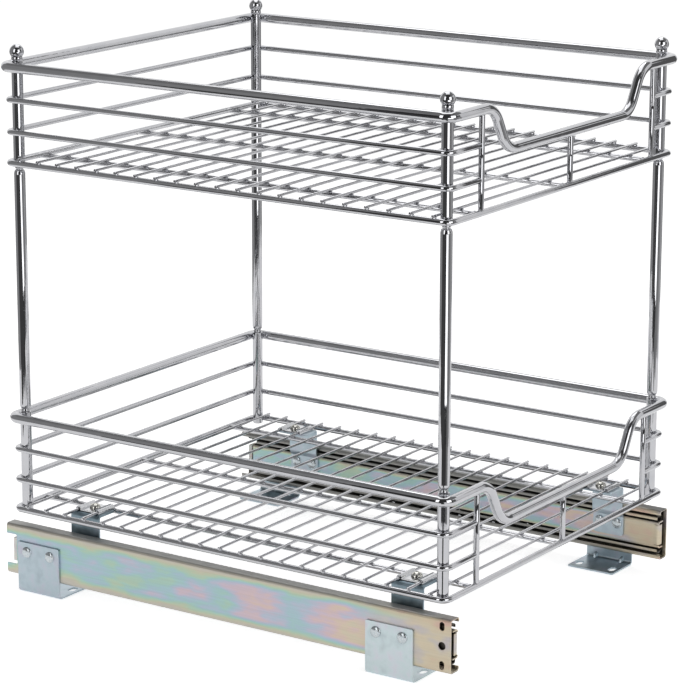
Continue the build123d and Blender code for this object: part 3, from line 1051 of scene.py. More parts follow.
    def tubes(self) -> MeshParts:
        """Short corner tubes that the rails wrap."""
        edge, outer, bore = self.tube_edge, self.tube_radius, self.tube_bore
        length = self.tube_high - self.tube_low
        profile = [(bore, 0.0), (outer - edge, 0.0), (outer, edge), (outer, length - edge),
                   (outer - edge, length), (bore, length), (bore, 0.0)]
        parts = MeshParts()
        for x, y, z in self.corners(0.0, self.base + self.tube_low):
            parts.turned(profile, Vector((x, y, z)), 28)
        return parts

    def welds(self) -> MeshParts:
        """Small lumps where wires were resistance welded to rails and to each other."""
        parts = MeshParts()
        side_x = self.half_width + self.low_offset
        rail_top = self.base + self.low_radius
        runner_top = self.base + self.runner_rise + self.runner_radius
        for y in self.cross_places:
            for x in (-side_x, side_x):
                parts.blob((x, y, rail_top), self.floor_weld)
            for x in self.runner_places:
                parts.blob((x, y, runner_top), self.runner_weld, 8)
        rear_y = 2 * self.middle_y - self.front_y
        sunk = self.low_radius - self.weld_bite
        for x in self.runner_places:
            for y in (self.front_y + sunk, rear_y - sunk):
                parts.blob((x, y, self.base + self.runner_rise / 2), self.runner_end_weld, 12)
        for x, top in self.upright_places:
            parts.blob((x, self.front_y, rail_top), self.upright_foot_weld, 12)
            parts.blob((x, self.front_y, top), self.upright_top_weld, 12)
        for way in (-1, 1):
            x = self.upright_shift + way * (self.upright_pitch + self.upright_radius)
            for rise in self.side_rises:
                end = self.corners(self.side_offset, self.base + rise)[0][1:]
                parts.blob((x, *end), self.rail_end_weld, 12)
        return parts

    def build(self) -> None:
        """Build and place the basket's pieces."""
        lower, upper = (self.side_rail(rise) for rise in self.side_rises)
        for name, parts, *nodes in (
            ("top_rail", self.top_rail(), "top_rail"),
            ("lower_side_rail", lower, "lower_side_rail"),
            ("upper_side_rail", upper, "upper_side_rail"),
            ("bottom_rail", self.bottom_rail(), "bottom_rail"),
            ("cross_wires", self.cross_wires(), "cross_wires"),
            ("runner_wires", self.runner_wires(), "runner_wires"),
            ("uprights", self.uprights(), "front_uprights"),
            ("corner_tubes", self.tubes(), "corner_tubes"),
            ("welds", self.welds()),
        ):
            word = self.tier.word
            add_piece(f"{word}_{name}_chrome", parts.mesh(), "carriage", CHROME,
                      *(f"{word}_basket_{node}" for node in nodes))


@dataclass
class CornerPiece(Layout):
    """Sub-assembly at one corner, drawn for the left and mirrored for the right."""

    side: Side
    end: End

    @property
    def word(self) -> str:
        """Name of the corner as the frame spells it."""
        return f"{self.end.word}_{self.side.word}"

    def here(self, places: Flat) -> float:
        """The one of the front and rear places that is at this end."""
        return places[0] if self.end is End.FRONT else places[1]


@dataclass
class CornerPost(CornerPiece):
    """Long post between the tiers and the ball finial above it."""

    radius: float = 4.75
    neck: float = 3.0
    bead: float = 3.7
    bead_height: float = 2.4
    shoulder_height: float = 4.2
    low: float = 158.85
    high: float = 371.1
    finial_seat: float = 459.85
    ball_middle: float = 467.4
    ball_radius: float = 6.1
    collar_radius: float = 4.7
    collar_height: float = 3.3
    collar_edges: Flat = (0.25, 0.3)
    spigot_edge: float = 0.4
    seat_gap: float = 0.02
    # Radius less that of the bead, and height over the post's end.
    bead_section: tuple[Flat, ...] = ((-0.3, 0.0), (0.0, 0.3), (0.0, 1.4), (-0.35, 1.9))
    # How much wider the neck is at its top, and how tall it is.
    neck_growth: Flat = (0.1, 0.4)
    shoulder_steps: int = 6
    ball_steps: int = 16
    sides: int = 36
    post_smooth: float = 50.0
    ball_smooth: float = 45.0

    @property
    def foot(self) -> Vector:
        """Point on the floor under the post."""
        y = self.middle_y + self.end.value * self.half_depth
        return Vector((self.side.value * self.half_width, y, 0.0))

    def post(self) -> Mesh:
        """Post with a spigot, bead, neck and rounded shoulder at both ends."""
        spigot, length, edge = self.spigot_radius, self.spigot_length, self.spigot_edge
        wider, taller = self.neck_growth
        neck, base = self.neck + wider, self.bead_height + taller
        half = [
            (0.0, -length), (spigot - edge, -length), (spigot, edge - length), (spigot, self.seat_gap),
            *((self.bead + change, height) for change, height in self.bead_section),
            (self.neck, self.bead_height), (neck, base),
        ]
        for step in range(1, self.shoulder_steps + 1):
            angle = math.pi / 2 * step / self.shoulder_steps
            height = base + self.shoulder_height * (1 - math.cos(angle))
            half.append((neck + (self.radius - neck) * math.sin(angle), height))
        lower = [(radius, self.low + height) for radius, height in half]
        upper = [(radius, self.high - height) for radius, height in reversed(half)]
        parts = MeshParts()
        parts.turned(lower + upper, self.foot, self.sides)
        return parts.mesh(smooth=self.post_smooth)

    def finial(self) -> Mesh:
        """Polished ball that sits a little way down in its collar."""
        seat, collar, ball = self.finial_seat, self.collar_radius, self.ball_radius
        top = seat + self.collar_height
        low_edge, high_edge = self.collar_edges
        first = math.acos((top - self.ball_middle) / ball)
        profile = [
            (0.0, seat - self.spigot_length), (self.spigot_radius, seat - self.spigot_length),
            (self.spigot_radius, seat), (collar - low_edge, seat), (collar, seat + low_edge),
            (collar, top - high_edge), (collar - high_edge, top), (ball * math.sin(first) + low_edge, top),
        ]
        for angle in (first * (1 - step / self.ball_steps) for step in range(self.ball_steps)):
            profile.append((ball * math.sin(angle), self.ball_middle + ball * math.cos(angle)))
        parts = MeshParts()
        parts.turned([*profile, (0.0, self.ball_middle + ball)], self.foot, self.sides)
        return parts.mesh(smooth=self.ball_smooth)

    def build(self) -> None:
        """Build and place the post and its finial."""
        add_piece(f"{self.word}_post_chrome", self.post(), "carriage", CHROME, f"{self.word}_post")
        add_piece(f"{self.word}_finial_chrome", self.finial(), "carriage", CHROME, f"{self.word}_ball_finial")


@dataclass
class BallSlide(Layout):
    """Three-part ball-bearing slide of one side, drawn for the left and mirrored for the right."""

    side: Side
    face: float = -179.0
    thickness: float = 12.7
    height: float = 45.0
    length: float = 450.0
    outer_sheet: float = 1.2
    outer_lip: float = 4.0
    outer_bends: Flat = (2.6, 2.8)
    end_inset: float = 8.0
    # Height above the middle, half length and half width of each hole in the front end.
    end_holes: tuple[Point, ...] = ((0.0, 3.4001, 3.4), (16.2, 3.7001, 2.3), (-16.2, 3.7001, 2.3))
    notch_depth: float = 11.0
    notch_half: float = 13.3
    middle_sheet: float = 1.0
    middle_half: float = 16.7
    middle_inset: float = 2.8
    middle_edge: float = 12.2
    middle_lip: float = 3.3
    middle_bend: float = 1.9
    middle_front: float = -222.0
    middle_length: float = 430.0
    inner_sheet: float = 1.2
    inner_half: float = 12.1
    inner_depth: float = 7.7
    inner_bend: float = 2.4
    inner_front: float = -224.0
    inner_length: float = 435.5
    tab_height: float = 18.0
    tab_depth: float = 6.0
    tab_root: float = 4.5
    tab_gap: float = 0.4
    notch_bend: float = 1.5
    notch_past: float = 5.0
    bumper_sizes: Point = (11.2, 4.0, 20.4)
    bumper_bend: float = 0.8
    # Low and high distance from the slide's face, and how far the grip reaches before and behind the edge.
    bumper_grip: tuple[float, float, float, float] = (1.2, 3.2, 3.0, 0.8)
    bumper_round: float = 0.35
    web_through: Flat = (3.0, 5.0)
    outer_round: float = 0.14
    member_round: float = 0.12

    def rivet_holes(self, parts: MeshParts, places: Flat, pitch: float, z: float, web: float) -> None:
        """Add cutters for pairs of rivet holes.

        Args:
            parts: what gets the cutters.
            places: Y of each pair.
            pitch: distance between the two of a pair.
            z: their height.
            web: X of the sheet's near face.
        """
        for y in (place + way * pitch / 2 for place in places for way in (-1, 1)):
            outside, inside = self.web_through
            parts.prism(circle(self.rivet_hole), drawn(Axis.X, y, z), web - outside, web + inside)

    def outer_member(self) -> Mesh:
        """Fixed member with returned lips, end holes and rear notch."""
        half, deep, lip_edge = self.height / 2, self.thickness, self.height / 2 - self.outer_lip
        points = [(deep, -lip_edge), (deep, -half), (0, -half), (0, half), (deep, half), (deep, lip_edge)]
        web, lip = self.outer_bends
        path = bent_path(points, [lip, web, web, lip], step=12.0)
        parts, cuts = MeshParts(), MeshParts()
        place = drawn(Axis.Y, self.face, self.slide_z)
        parts.sheet(path, -self.outer_sheet, place, -self.length / 2, self.length)
        self.rivet_holes(cuts, self.foot_places, self.foot_rivet_pitch, self.slide_z, self.face)
        low, high = self.face - self.web_through[0], self.face + self.web_through[1]
        for rise, half_length, half_width in self.end_holes:
            place = drawn(Axis.X, self.end_inset - self.length / 2, self.slide_z + rise)
            cuts.prism(slot_outline(half_length, half_width), place, low, high)
        deep, past, half = self.notch_depth, self.notch_past, self.notch_half
        corners = [(-deep, -half), (past, -half), (past, half), (-deep, half)]
        bends = [self.notch_bend, 0, 0, self.notch_bend]
        notch = bent_path(corners, bends, closed=True, step=30.0)
        cuts.prism(notch, drawn(Axis.X, self.length / 2, self.slide_z), low, high)
        return parts.shaped(self.outer_round, self.side, cuts)

    def middle_member(self) -> Mesh:
        """Sliding member between the fixed one and the basket's one."""
        half, edge, lip_edge = self.middle_half, self.middle_edge, self.middle_half - self.middle_lip
        points = [(edge, -lip_edge), (edge, -half), (self.middle_inset, -half), (self.middle_inset, half),
                  (edge, half), (edge, lip_edge)]
        parts = MeshParts()
        place = drawn(Axis.Y, self.face, self.slide_z)
        path = bent_path(points, [self.middle_bend] * 4, step=15.0)
        parts.sheet(path, -self.middle_sheet, place, self.middle_front, self.middle_length)
        return parts.shaped(self.member_round, self.side)

    def inner_member(self) -> Mesh:
        """Channel that carries the baskets, with a tab bent across its front."""
        half, deep, front = self.inner_half, self.thickness, self.inner_front
        edge = deep - self.inner_depth
        points = [(edge, -half), (deep, -half), (deep, half), (edge, half)]
        path = bent_path(points, [self.inner_bend] * 2, step=12.0)
        parts, cuts, tab = MeshParts(), MeshParts(), MeshParts()
        place = drawn(Axis.Y, self.face, self.slide_z)
        parts.sheet(path, self.inner_sheet, place, front, self.inner_length)
        web = self.face + deep
        self.rivet_holes(cuts, self.bracket_places, self.bracket_rivet_pitch, self.bracket_rivet_z, web)
        gap = self.tab_height / 2 + self.tab_gap
        past, root, outside = self.notch_past, self.tab_root, self.web_through[0]
        notch = [(-past, -gap), (root, -gap), (root, gap), (-past, gap)]
        cuts.prism(notch, drawn(Axis.X, front, self.slide_z), web - outside, web + outside)
        points = [(web, front + root), (web, front), (web - self.tab_depth, front)]
        path = bent_path(points, [self.inner_bend], step=12.0)
        start = self.slide_z - self.tab_height / 2
        tab.sheet(path, -self.inner_sheet, drawn(Axis.Z), start, self.tab_height)
        body = parts.shaped(self.member_round, self.side, cuts)
        return join_meshes(body, tab.shaped(self.member_round, self.side))

    def bumper(self) -> Mesh:
        """Nylon stop that grips the edge of the rear notch."""
        deep, thick, tall = self.bumper_sizes
        edge = self.length / 2 - self.notch_depth
        outline = [(0.0, edge), (deep, edge), (deep, edge + thick), (0.0, edge + thick)]
        near, far, before, behind = self.bumper_grip
        grip = [(near, edge - before), (far, edge - before), (far, edge + behind), (near, edge + behind)]
        block = bent_path(outline, [self.bumper_bend] * 4, closed=True, step=30.0)
        parts = MeshParts()
        for shape, reach in ((block, tall / 2), (grip, tall / 2 - self.bumper_bend)):
            parts.prism(shape, drawn(Axis.Z, self.face), self.slide_z - reach, self.slide_z + reach)
        return parts.shaped(self.bumper_round, self.side)

    def build(self) -> None:
        """Build and place the slide's pieces, and dress its balls and cages."""
        word = self.side.word
        middle = f"{word}_middle_member"
        for name, mesh, body, finish, node in (
            ("outer_member", self.outer_member(), "cabinet_side", SLIDE_ZINC, "outer_slide_member"),
            ("middle_member", self.middle_member(), middle, SLIDE_ZINC, "middle_slide_member"),
            ("inner_member", self.inner_member(), "carriage", SLIDE_ZINC, "inner_slide_member"),
            ("rear_bumper", self.bumper(), "cabinet_side", NYLON, "rear_bumper"),
        ):
            stuff = "nylon" if finish is NYLON else "zinc"
            add_piece(f"{word}_{name}_{stuff}", mesh, body, finish, f"{word}_{node}")
        for circuit in ("outer", "inner"):
            dress(f"{word}_{circuit}_ball_cage", CAGE)
            dress(f"{word}_{circuit}_bearing_balls", BALL)


@dataclass
class FootBracket(CornerPiece):
    """Slotted angle foot under one end of a slide."""

    face: float = -180.6
    sheet: float = 1.6
    width: float = 45.0
    height: float = 45.0
    flange: float = 36.5
    bend: float = 3.6
    corner: float = 1.5
    slot_sizes: Flat = (10.5, 6.0)
    slot_inset: float = 25.5
    slot_pitch: float = 33.0
    gusset_pitch: float = 26.0
    gusset_width: float = 4.0
    gusset_leg: float = 5.0
    # Share of the half width and share of the full height at each station across a gusset.
    gusset_rise: tuple[Flat, ...] = (
        (-1.0, 0.0), (-0.8, 0.55), (-0.4, 0.9), (0.0, 1.0), (0.4, 0.9), (0.8, 0.55), (1.0, 0.0))
    # Share of the leg that is left at a gusset's sides, and how deep it sinks into the sheet there.
    gusset_side: Flat = (0.35, 0.6)
    # Shares of the leg and of the bend by which a gusset's middle stands out.
    gusset_crest: Flat = (0.45, 0.35)
    # How deep a gusset's root and its tips lie in the sheet.
    gusset_root: Flat = (0.6, 0.4)
    gusset_smooth: float = 60.0

    def mesh(self) -> Mesh:
        """Bent plate with slots, rivet holes, clipped corners and pressed gussets."""
        middle = self.here(self.foot_places)
        parts, cuts, ribs = MeshParts(), MeshParts(), MeshParts()
        path = bent_path([(0, self.height), (0, 0), (self.flange, 0)], [self.bend])
        parts.sheet(path, self.sheet, drawn(Axis.Y, self.face), middle - self.width / 2, self.width)
        long, wide = self.slot_sizes
        outside, inside = self.through
        plate = self.face - outside, self.face + inside
        for way in (-1, 1):
            slot, rivet, edge, rib = (
                middle + way * pitch / 2
                for pitch in (self.slot_pitch, self.foot_rivet_pitch, self.width, self.gusset_pitch))
            place = drawn(Axis.Z, self.face + self.slot_inset, slot)
            cuts.prism(swapped(slot_outline(long / 2, wide / 2)), place, -outside, inside)
            cuts.prism(circle(self.rivet_hole), drawn(Axis.X, rivet, self.slide_z), *plate)
            clip = corner_clip(self.corner, way)
            cuts.prism(clip, drawn(Axis.X, edge, self.height), *plate)
            cuts.prism(swapped(clip), drawn(Axis.Z, self.face + self.flange, edge), -outside, inside)
            self.gusset(ribs, rib)
        body = parts.shaped(self.edge_round, self.side, cuts)
        return join_meshes(body, ribs.mesh(self.side, self.gusset_smooth))

    def gusset(self, parts: MeshParts, y: float) -> None:
        """Add a rounded rib pressed into the inside of the bend.

        Args:
            parts: what gets the rib.
            y: its middle.
        """
        inside, sheet = self.face + self.sheet, self.sheet
        left, deepest = self.gusset_side
        of_leg, of_bend = self.gusset_crest
        root, tip = self.gusset_root
        points = []
        for across, share in self.gusset_rise:
            leg = self.gusset_leg * (left + (1 - left) * share)
            sink = deepest * (1 - share)
            crest = leg * of_leg + self.bend * of_bend * share - sink
            along = y + across * self.gusset_width / 2
            points += [
                Vector((inside - root, along, sheet - root)),
                Vector((inside + leg - sink, along, sheet - tip)),
                Vector((inside + crest, along, sheet + crest)),
                Vector((inside - tip, along, sheet + leg - sink)),
            ]
        rings = [range(first, first + 4) for first in range(0, len(points), 4)]
        parts.skin(points, rings, (rings[0], rings[-1]))

    def build(self) -> None:
        """Build and place the foot."""
        # The left front foot gets the blue zinc with painted light.
        finish = LIT_FOOT_ZINC if self.side is Side.LEFT and self.end is End.FRONT else BRACKET_ZINC
        add_piece(f"{self.word}_foot_zinc", self.mesh(), "cabinet_side", finish, f"{self.word}_foot_bracket")


@dataclass
class BasketBracket(CornerPiece):
    """Joggled bracket on the sliding member, its wire clamp and where its screw goes."""

    web: float = -166.3
    sheet: float = 1.8
    width: float = 30.0
    foot: float = 29.9
    joggle: float = 2.5
    joggle_z: float = 48.2
    joggle_run: float = 3.6
    joggle_bend: float = 3.0
    bend: float = 3.4
    tab_reach: float = 22.8
    tab_top: float = 76.0
    corner: float = 3.0
    screw_hole: float = 2.1
    clamp_sheet: float = 1.2
    clamp_length: float = 21.0
    clamp_fit: float = 0.12
    clamp_lift: float = 0.6
    clamp_bends: Flat = (1.3, 1.4)
    wire_z: float = 77.3
    clamp_round: float = 0.18

    def bracket(self) -> Mesh:
        """Bent plate with its joggle, tab, rivet holes and screw hole."""
        middle = self.here(self.bracket_places)
        joggled = self.web + self.joggle
        tip = joggled + self.tab_reach
        points = [
            (self.web, self.foot), (self.web, self.joggle_z), (joggled, self.joggle_z + self.joggle_run),
            (joggled, self.tab_top), (tip, self.tab_top),
        ]
        parts, cuts = MeshParts(), MeshParts()
        path = bent_path(points, [self.joggle_bend, self.joggle_bend, self.bend])
        parts.sheet(path, -self.sheet, drawn(Axis.Y), middle - self.width / 2, self.width)
        outside, inside = self.through
        through_web = self.web - outside, self.web + inside
        through_tab = self.tab_top - inside, self.tab_top + outside
        for way in (-1, 1):
            rivet, edge = middle + way * self.bracket_rivet_pitch / 2, middle + way * self.width / 2
            cuts.prism(circle(self.rivet_hole), drawn(Axis.X, rivet, self.bracket_rivet_z), *through_web)
            clip = corner_clip(self.corner, way)
            cuts.prism([(u, -v) for u, v in clip], drawn(Axis.X, edge, self.foot), *through_web)
            cuts.prism(swapped(clip), drawn(Axis.Z, tip, edge), *through_tab)
        cuts.prism(circle(self.screw_hole), drawn(Axis.Z, -self.screw_x, middle), *through_tab)
        return parts.shaped(self.edge_round, self.side, cuts)

    def clamp(self) -> Mesh:
        """Pressed clip with a ridge over each of two wires and a flat valley for the screw."""
        crest = self.wire_z + self.wire_radius + self.clamp_fit
        valley, foot = self.tab_top + self.clamp_lift, self.tab_top + self.clamp_fit
        near, far = (self.wire_pitch / 2 + way * (self.wire_radius + self.clamp_fit) for way in (-1, 1))
        left = [(-far, foot), (-far, crest), (-near, crest), (-near, valley)]
        right = [(-u, v) for u, v in reversed(left)]
        over, under = self.clamp_bends
        path = bent_path(left + right, [over, over, under, under, over, over], step=15.0)
        parts = MeshParts()
        place = drawn(Axis.X, self.here(self.bracket_places))
        start = -self.screw_x - self.clamp_length / 2
        parts.sheet(path, self.clamp_sheet, place, start, self.clamp_length)
        return parts.shaped(self.clamp_round, self.side)

    def build(self) -> None:
        """Build and place the bracket and its clamp."""
        # The left brackets get the blue zinc with painted shade.
        word, finish = self.word, SHADED_BRACKET_ZINC if self.side is Side.LEFT else BRACKET_ZINC
        add_piece(f"{word}_bracket_zinc", self.bracket(), "carriage", finish, f"{word}_basket_bracket")
        add_piece(f"{word}_clamp_nickel", self.clamp(), "carriage", CLAMP, f"{word}_wire_clamp")


@dataclass
class Fasteners(Layout):
    """The rivets of the feet and brackets and the screws of the clamps."""

    foot_face: float = 180.6
    bracket_face: float = 164.5
    rivet_head: Flat = (4.8, 1.9)
    rivet_shank: float = 2.4
    foot_shank_length: float = 3.2
    bracket_shank_length: float = 3.0
    screw_seat: float = 77.8
    screw_head: Flat = (4.8, 4.0)
    screw_shank: float = 2.0
    screw_length: float = 5.8
    recess_arm: float = 1.4
    recess_half: float = 0.32
    recess_depth: float = 0.9
    recess_past: float = 1.0
    rim: float = 0.2
    shank_edge: float = 0.3
    dome_steps: int = 8
    rivet_smooth: float = 50.0
    screw_smooth: float = 40.0

    def domed(self, head: Flat, shank: float, depth: float) -> list[Flat]:
        """Outline of a domed head on a shank, with a small rim.

        Args:
            head: radius and height of the head.
            shank: radius of the shank.
            depth: length of the shank.

        Returns:
            Radius and height of each point, from the shank's end to the head's top.
        """
        (radius, height), rim, edge = head, self.rim, self.shank_edge
        profile = [(0.0, -depth), (shank - edge, -depth), (shank, edge - depth), (shank, 0.0),
                   (radius - rim, 0.0), (radius, rim)]
        for angle in (math.pi / 2 * step / self.dome_steps for step in range(1, self.dome_steps)):
            profile.append((radius * math.cos(angle), rim + (height - rim) * math.sin(angle)))
        return [*profile, (0.0, height)]

    def rivets(self, face: float, inward: bool, places: Flat, pitch: float, z: float, depth: float) -> Mesh:
        """Domed rivets on both sides of the organizer.

        Args:
            face: distance of the sheet's face from the middle.
            inward: whether the heads point at the middle.
            places: Y of each pair.
            pitch: distance between the two of a pair.
            z: their height.
            depth: length of the shanks.

        Returns:
            The mesh.
        """
        parts = MeshParts()
        profile = self.domed(self.rivet_head, self.rivet_shank, depth)
        for side in Side:
            way = Vector((-side.value if inward else side.value, 0.0, 0.0))
            for y in (place + step * pitch / 2 for place in places for step in (-1, 1)):
                parts.turned(profile, Vector((side.value * face, y, z)), 28, way)
        return parts.mesh(smooth=self.rivet_smooth)

    def screws(self) -> Mesh:
        """Domed clamp screws, each with a cross recess."""
        parts, cuts = MeshParts(), MeshParts()
        profile = self.domed(self.screw_head, self.screw_shank, self.screw_length)
        top = self.screw_seat + self.screw_head[1]
        arm, half = self.recess_arm, self.recess_half
        outline = [
            (arm, -half), (arm, half), (half, half), (half, arm), (-half, arm), (-half, half),
            (-arm, half), (-arm, -half), (-half, -half), (-half, -arm), (half, -arm), (half, -half),
        ]
        for side in Side:
            for y in self.bracket_places:
                x = side.value * self.screw_x
                parts.turned(profile, Vector((x, y, self.screw_seat)), 32)
                cuts.prism(outline, drawn(Axis.Z, x, y), top - self.recess_depth, top + self.recess_past)
        return parts.shaped(0.0, cuts=cuts, smooth=self.screw_smooth)

    def build(self) -> None:
        """Build and place all fasteners."""
        feet = self.rivets(self.foot_face, False, self.foot_places, self.foot_rivet_pitch, self.slide_z,
                           self.foot_shank_length)
        add_piece("foot_rivets_zinc", feet, "cabinet_side", RIVET, "foot_rivets")
        brackets = self.rivets(self.bracket_face, True, self.bracket_places, self.bracket_rivet_pitch,
                               self.bracket_rivet_z, self.bracket_shank_length)
        add_piece("bracket_rivets_zinc", brackets, "carriage", RIVET, "basket_bracket_rivets")
        add_piece("clamp_screws_nickel", self.screws(), "carriage", SCREW, "clamp_screws")


# Camera and studio; all places and sizes are in metres


@dataclass(frozen=True)
class PhotoCamera:
    """Camera that stands where the photograph was taken, found from the rails and posts."""

    place: Point = (-2.05943, -1.38641, 0.83967)
    yaw: float = 0.9781
    pitch: float = 0.2473
    roll: float = 0.0017
    focal_px: float = 2993.34
    picture_px: tuple[int, int] = (679, 686)
    sensor_mm: float = 36.0
    farthest: float = 50.0

    def build(self) -> None:
        """Make the camera and set it as the scene's."""
        data = bpy.data.cameras.new("photo_camera")
        data.sensor_fit = "AUTO"
        data.sensor_width = self.sensor_mm
        data.lens = self.focal_px / max(self.picture_px) * self.sensor_mm
        data.clip_end = self.farthest
        flat = Vector((math.sin(self.yaw), math.cos(self.yaw), 0.0))
        ahead = flat * math.cos(self.pitch) - UP * math.sin(self.pitch)
        level = Vector((math.cos(self.yaw), -math.sin(self.yaw), 0.0))
        lift = level.cross(ahead)
        right = level * math.cos(self.roll) + lift * math.sin(self.roll)
        up = lift * math.cos(self.roll) - level * math.sin(self.roll)
        camera = bpy.data.objects.new("photo_camera", data)
        turn = Matrix((right, up, -ahead)).transposed().to_4x4()
        camera.matrix_world = Matrix.Translation(Vector(self.place)) @ turn
        bpy.context.scene.collection.objects.link(camera)
        bpy.context.scene.camera = camera


@dataclass(frozen=True)
class Card:
    """Card of even brightness that only reflections see.

    It spans two turns, in degrees from the camera's direction and positive to the right of the picture. On
    the floor it reaches from the near to the far distance; where it stands, near and far are heights.
    """

    name: str
    turns: Flat
    near: float
    far: float
    light: float
    stands_at: float = 0.0
    rise: float = 0.001
    middle: Flat = (0.0, 0.0)


@dataclass(frozen=True)
class Lamp:
    """Large soft lamp that faces the object."""

    name: str
    place: Point
    width: float
    height: float
    power: float


# Floor point under the nearest corner tube.
NEAR_CORNER = (-0.17, -0.21)


@dataclass
class Studio:
    """White floor and surroundings, soft lamps, and cards that give chrome its bands."""

    camera_turn: float = math.radians(-146.04)
    floor_half: float = 7.0
    floor_sunk: float = 0.0003
    paper: str = "F4F4F4"
    fill: float = 0.45
    floor_lift: float = 0.6
    floor_mirrored: float = 0.38
    lamps: tuple[Lamp, ...] = (
        Lamp("left_softbox", (-2.265, 0.26, 1.0), 0.85, 1.9, 10.0),
        Lamp("right_softbox", (-0.87, -2.26, 0.95), 1.3, 1.7, 15.0),
        Lamp("top_softbox", (0.9, 0.7, 2.5), 1.6, 1.2, 12.0),
    )
    aim: Point = (0.0, 0.0, 0.2)
    cards: tuple[Card, ...] = (
        Card("mat_left", (-180.0, -72.0), 0.95, 5.0, 0.33),
        Card("mat_dark_left", (-72.0, 3.0), 0.74, 5.0, 0.07),
        Card("mat_strip", (3.0, 33.0), 1.06, 5.0, 2.4),
        Card("mat_strip_foot", (3.0, 33.0), 0.72, 1.06, 0.05),
        Card("mat_dark_right", (33.0, 68.0), 0.8, 5.0, 0.26),
        Card("mat_right", (68.0, 96.0), 0.95, 5.0, 0.36),
        Card("mat_far_right", (96.0, 111.0), 1.1, 6.9, 0.75),
        Card("mat_far_right_dark", (111.0, 136.0), 1.25, 6.9, 0.13),
        Card("mat_rear", (136.0, 180.0), 1.2, 5.0, 0.5),
        Card("wall_left", (-128.0, -61.0), 0.001, 2.7, 0.29, 3.1),
        Card("wall_front", (-61.0, 60.0), 0.001, 2.7, 0.04, 3.1),
        Card("wall_right_near", (60.0, 88.0), 0.001, 4.2, 0.16, 6.9),
        Card("wall_right", (88.0, 112.4), 0.001, 4.2, 0.85, 6.9),
        Card("wall_right_high", (112.4, 120.3), 2.1, 4.2, 0.85, 6.9),
        Card("wall_right_dark", (112.4, 136.0), 0.001, 2.1, 0.13, 6.9),
        Card("wall_right_dark_high", (120.3, 140.0), 2.1, 4.2, 0.13, 6.9),
        Card("mat_post_dark", (-50.0, 33.0), 0.42, 0.62, 0.06, rise=0.0015, middle=NEAR_CORNER),
        Card("mat_post_grey", (33.0, 70.0), 0.42, 0.62, 0.24, rise=0.0015, middle=NEAR_CORNER),
    )
    card_step: float = 6.0
    # Near and far distance before the nearest corner, half width at each, and the share of it to the right.
    tongue: tuple[float, float, float, float, float] = (0.2, 0.42, 0.06, 0.14, 0.3)
    tongue_rise: float = 0.002
    tongue_light: float = 0.05
    # Low and high X, half length, and light of the strip under the right slide's feet: a painted reflection
    # of the shadow under the organizer.
    under: tuple[float, float, float, float] = (0.1, 0.14, 0.23, 0.3)
    under_rise: float = 0.0005
    # Name, nearest and farthest distance away from the camera, half width, height and light.
    overhead: tuple[tuple[str, float, float, float, float, float], ...] = (
        ("card_overhead", -3.4, 1.9, 3.2, 2.6, 0.22),
        ("card_overhead_dark", -3.4, -0.9, 1.5, 2.55, 0.05),
        ("scrim_overhead", -0.6, 1.7, 0.7, 2.45, 1.6),
    )

    def shown(self, tree: NodeTree) -> Node:
        """One where the camera, a reflection or something clear looks on, else zero.

        Args:
            tree: node tree of the world or material.

        Returns:
            Node that gives the value.
        """
        rays = add_node(tree, "LightPath").outputs
        direct = (rays["Is Camera Ray"], rays["Is Transmission Ray"])
        seen = add_node(tree, "Math", direct, operation="MAXIMUM")
        return add_node(tree, "Math", (seen, rays["Is Glossy Ray"]), operation="MAXIMUM")

    def world(self) -> None:
        """White for the camera and in reflections, and soft even light elsewhere."""
        world = bpy.data.worlds.new("studio")
        bpy.context.scene.world = world
        tree = empty_tree(world)
        strength = add_node(tree, "MapRange", (self.shown(tree), 0.0, 1.0, self.fill, 1.0))
        add_node(tree, "OutputWorld", (add_node(tree, "Background", (linear(WHITE), strength)),))

    def staged(self, name: str, surface: str, points: Sequence[Sequence[float]],
               faces: Sequence[Sequence[int]]) -> tuple[Object, NodeTree]:
        """Add something that belongs to the studio.

        Args:
            name: its name.
            surface: name of its material.
            points: its corner points.
            faces: its faces.

        Returns:
            The object and its material's empty node tree.
        """
        mesh = bpy.data.meshes.new(name)
        mesh.from_pydata([tuple(point) for point in points], [], faces)
        material = bpy.data.materials.new(surface)
        mesh.materials.append(material)
        thing = bpy.data.objects.new(name, mesh)
        bpy.context.scene.collection.objects.link(thing)
        return thing, empty_tree(material)

    def floor(self) -> None:
        """Pale floor that shows white where no shadow falls."""
        half, z = self.floor_half, -self.floor_sunk
        corners = [(-half, -half, z), (half, -half, z), (half, half, z), (-half, half, z)]
        _, tree = self.staged("floor", "matt_white_paper", corners, [(0, 1, 2, 3)])
        paper = add_node(tree, "BsdfDiffuse", (linear(self.paper),))
        mirrored = add_node(tree, "LightPath").outputs["Is Glossy Ray"]
        level = add_node(tree, "MapRange", (mirrored, 0.0, 1.0, self.floor_lift, self.floor_mirrored))
        strength = add_node(tree, "Math", (self.shown(tree), level), operation="MULTIPLY")
        lift = add_node(tree, "Emission", (linear(WHITE), strength))
        add_node(tree, "OutputMaterial", (add_node(tree, "AddShader", (paper, lift)),))

    def lights(self) -> None:
        """Large soft lamps."""
        for lamp in self.lamps:
            data = bpy.data.lights.new(lamp.name, "AREA")
            data.shape = "RECTANGLE"
            data.size, data.size_y, data.energy = lamp.width, lamp.height, lamp.power
            light = bpy.data.objects.new(lamp.name, data)
            place = Vector(lamp.place)
            turn = (Vector(self.aim) - place).to_track_quat("-Z", "Y").to_matrix().to_4x4()
            light.matrix_world = Matrix.Translation(place) @ turn
            bpy.context.scene.collection.objects.link(light)

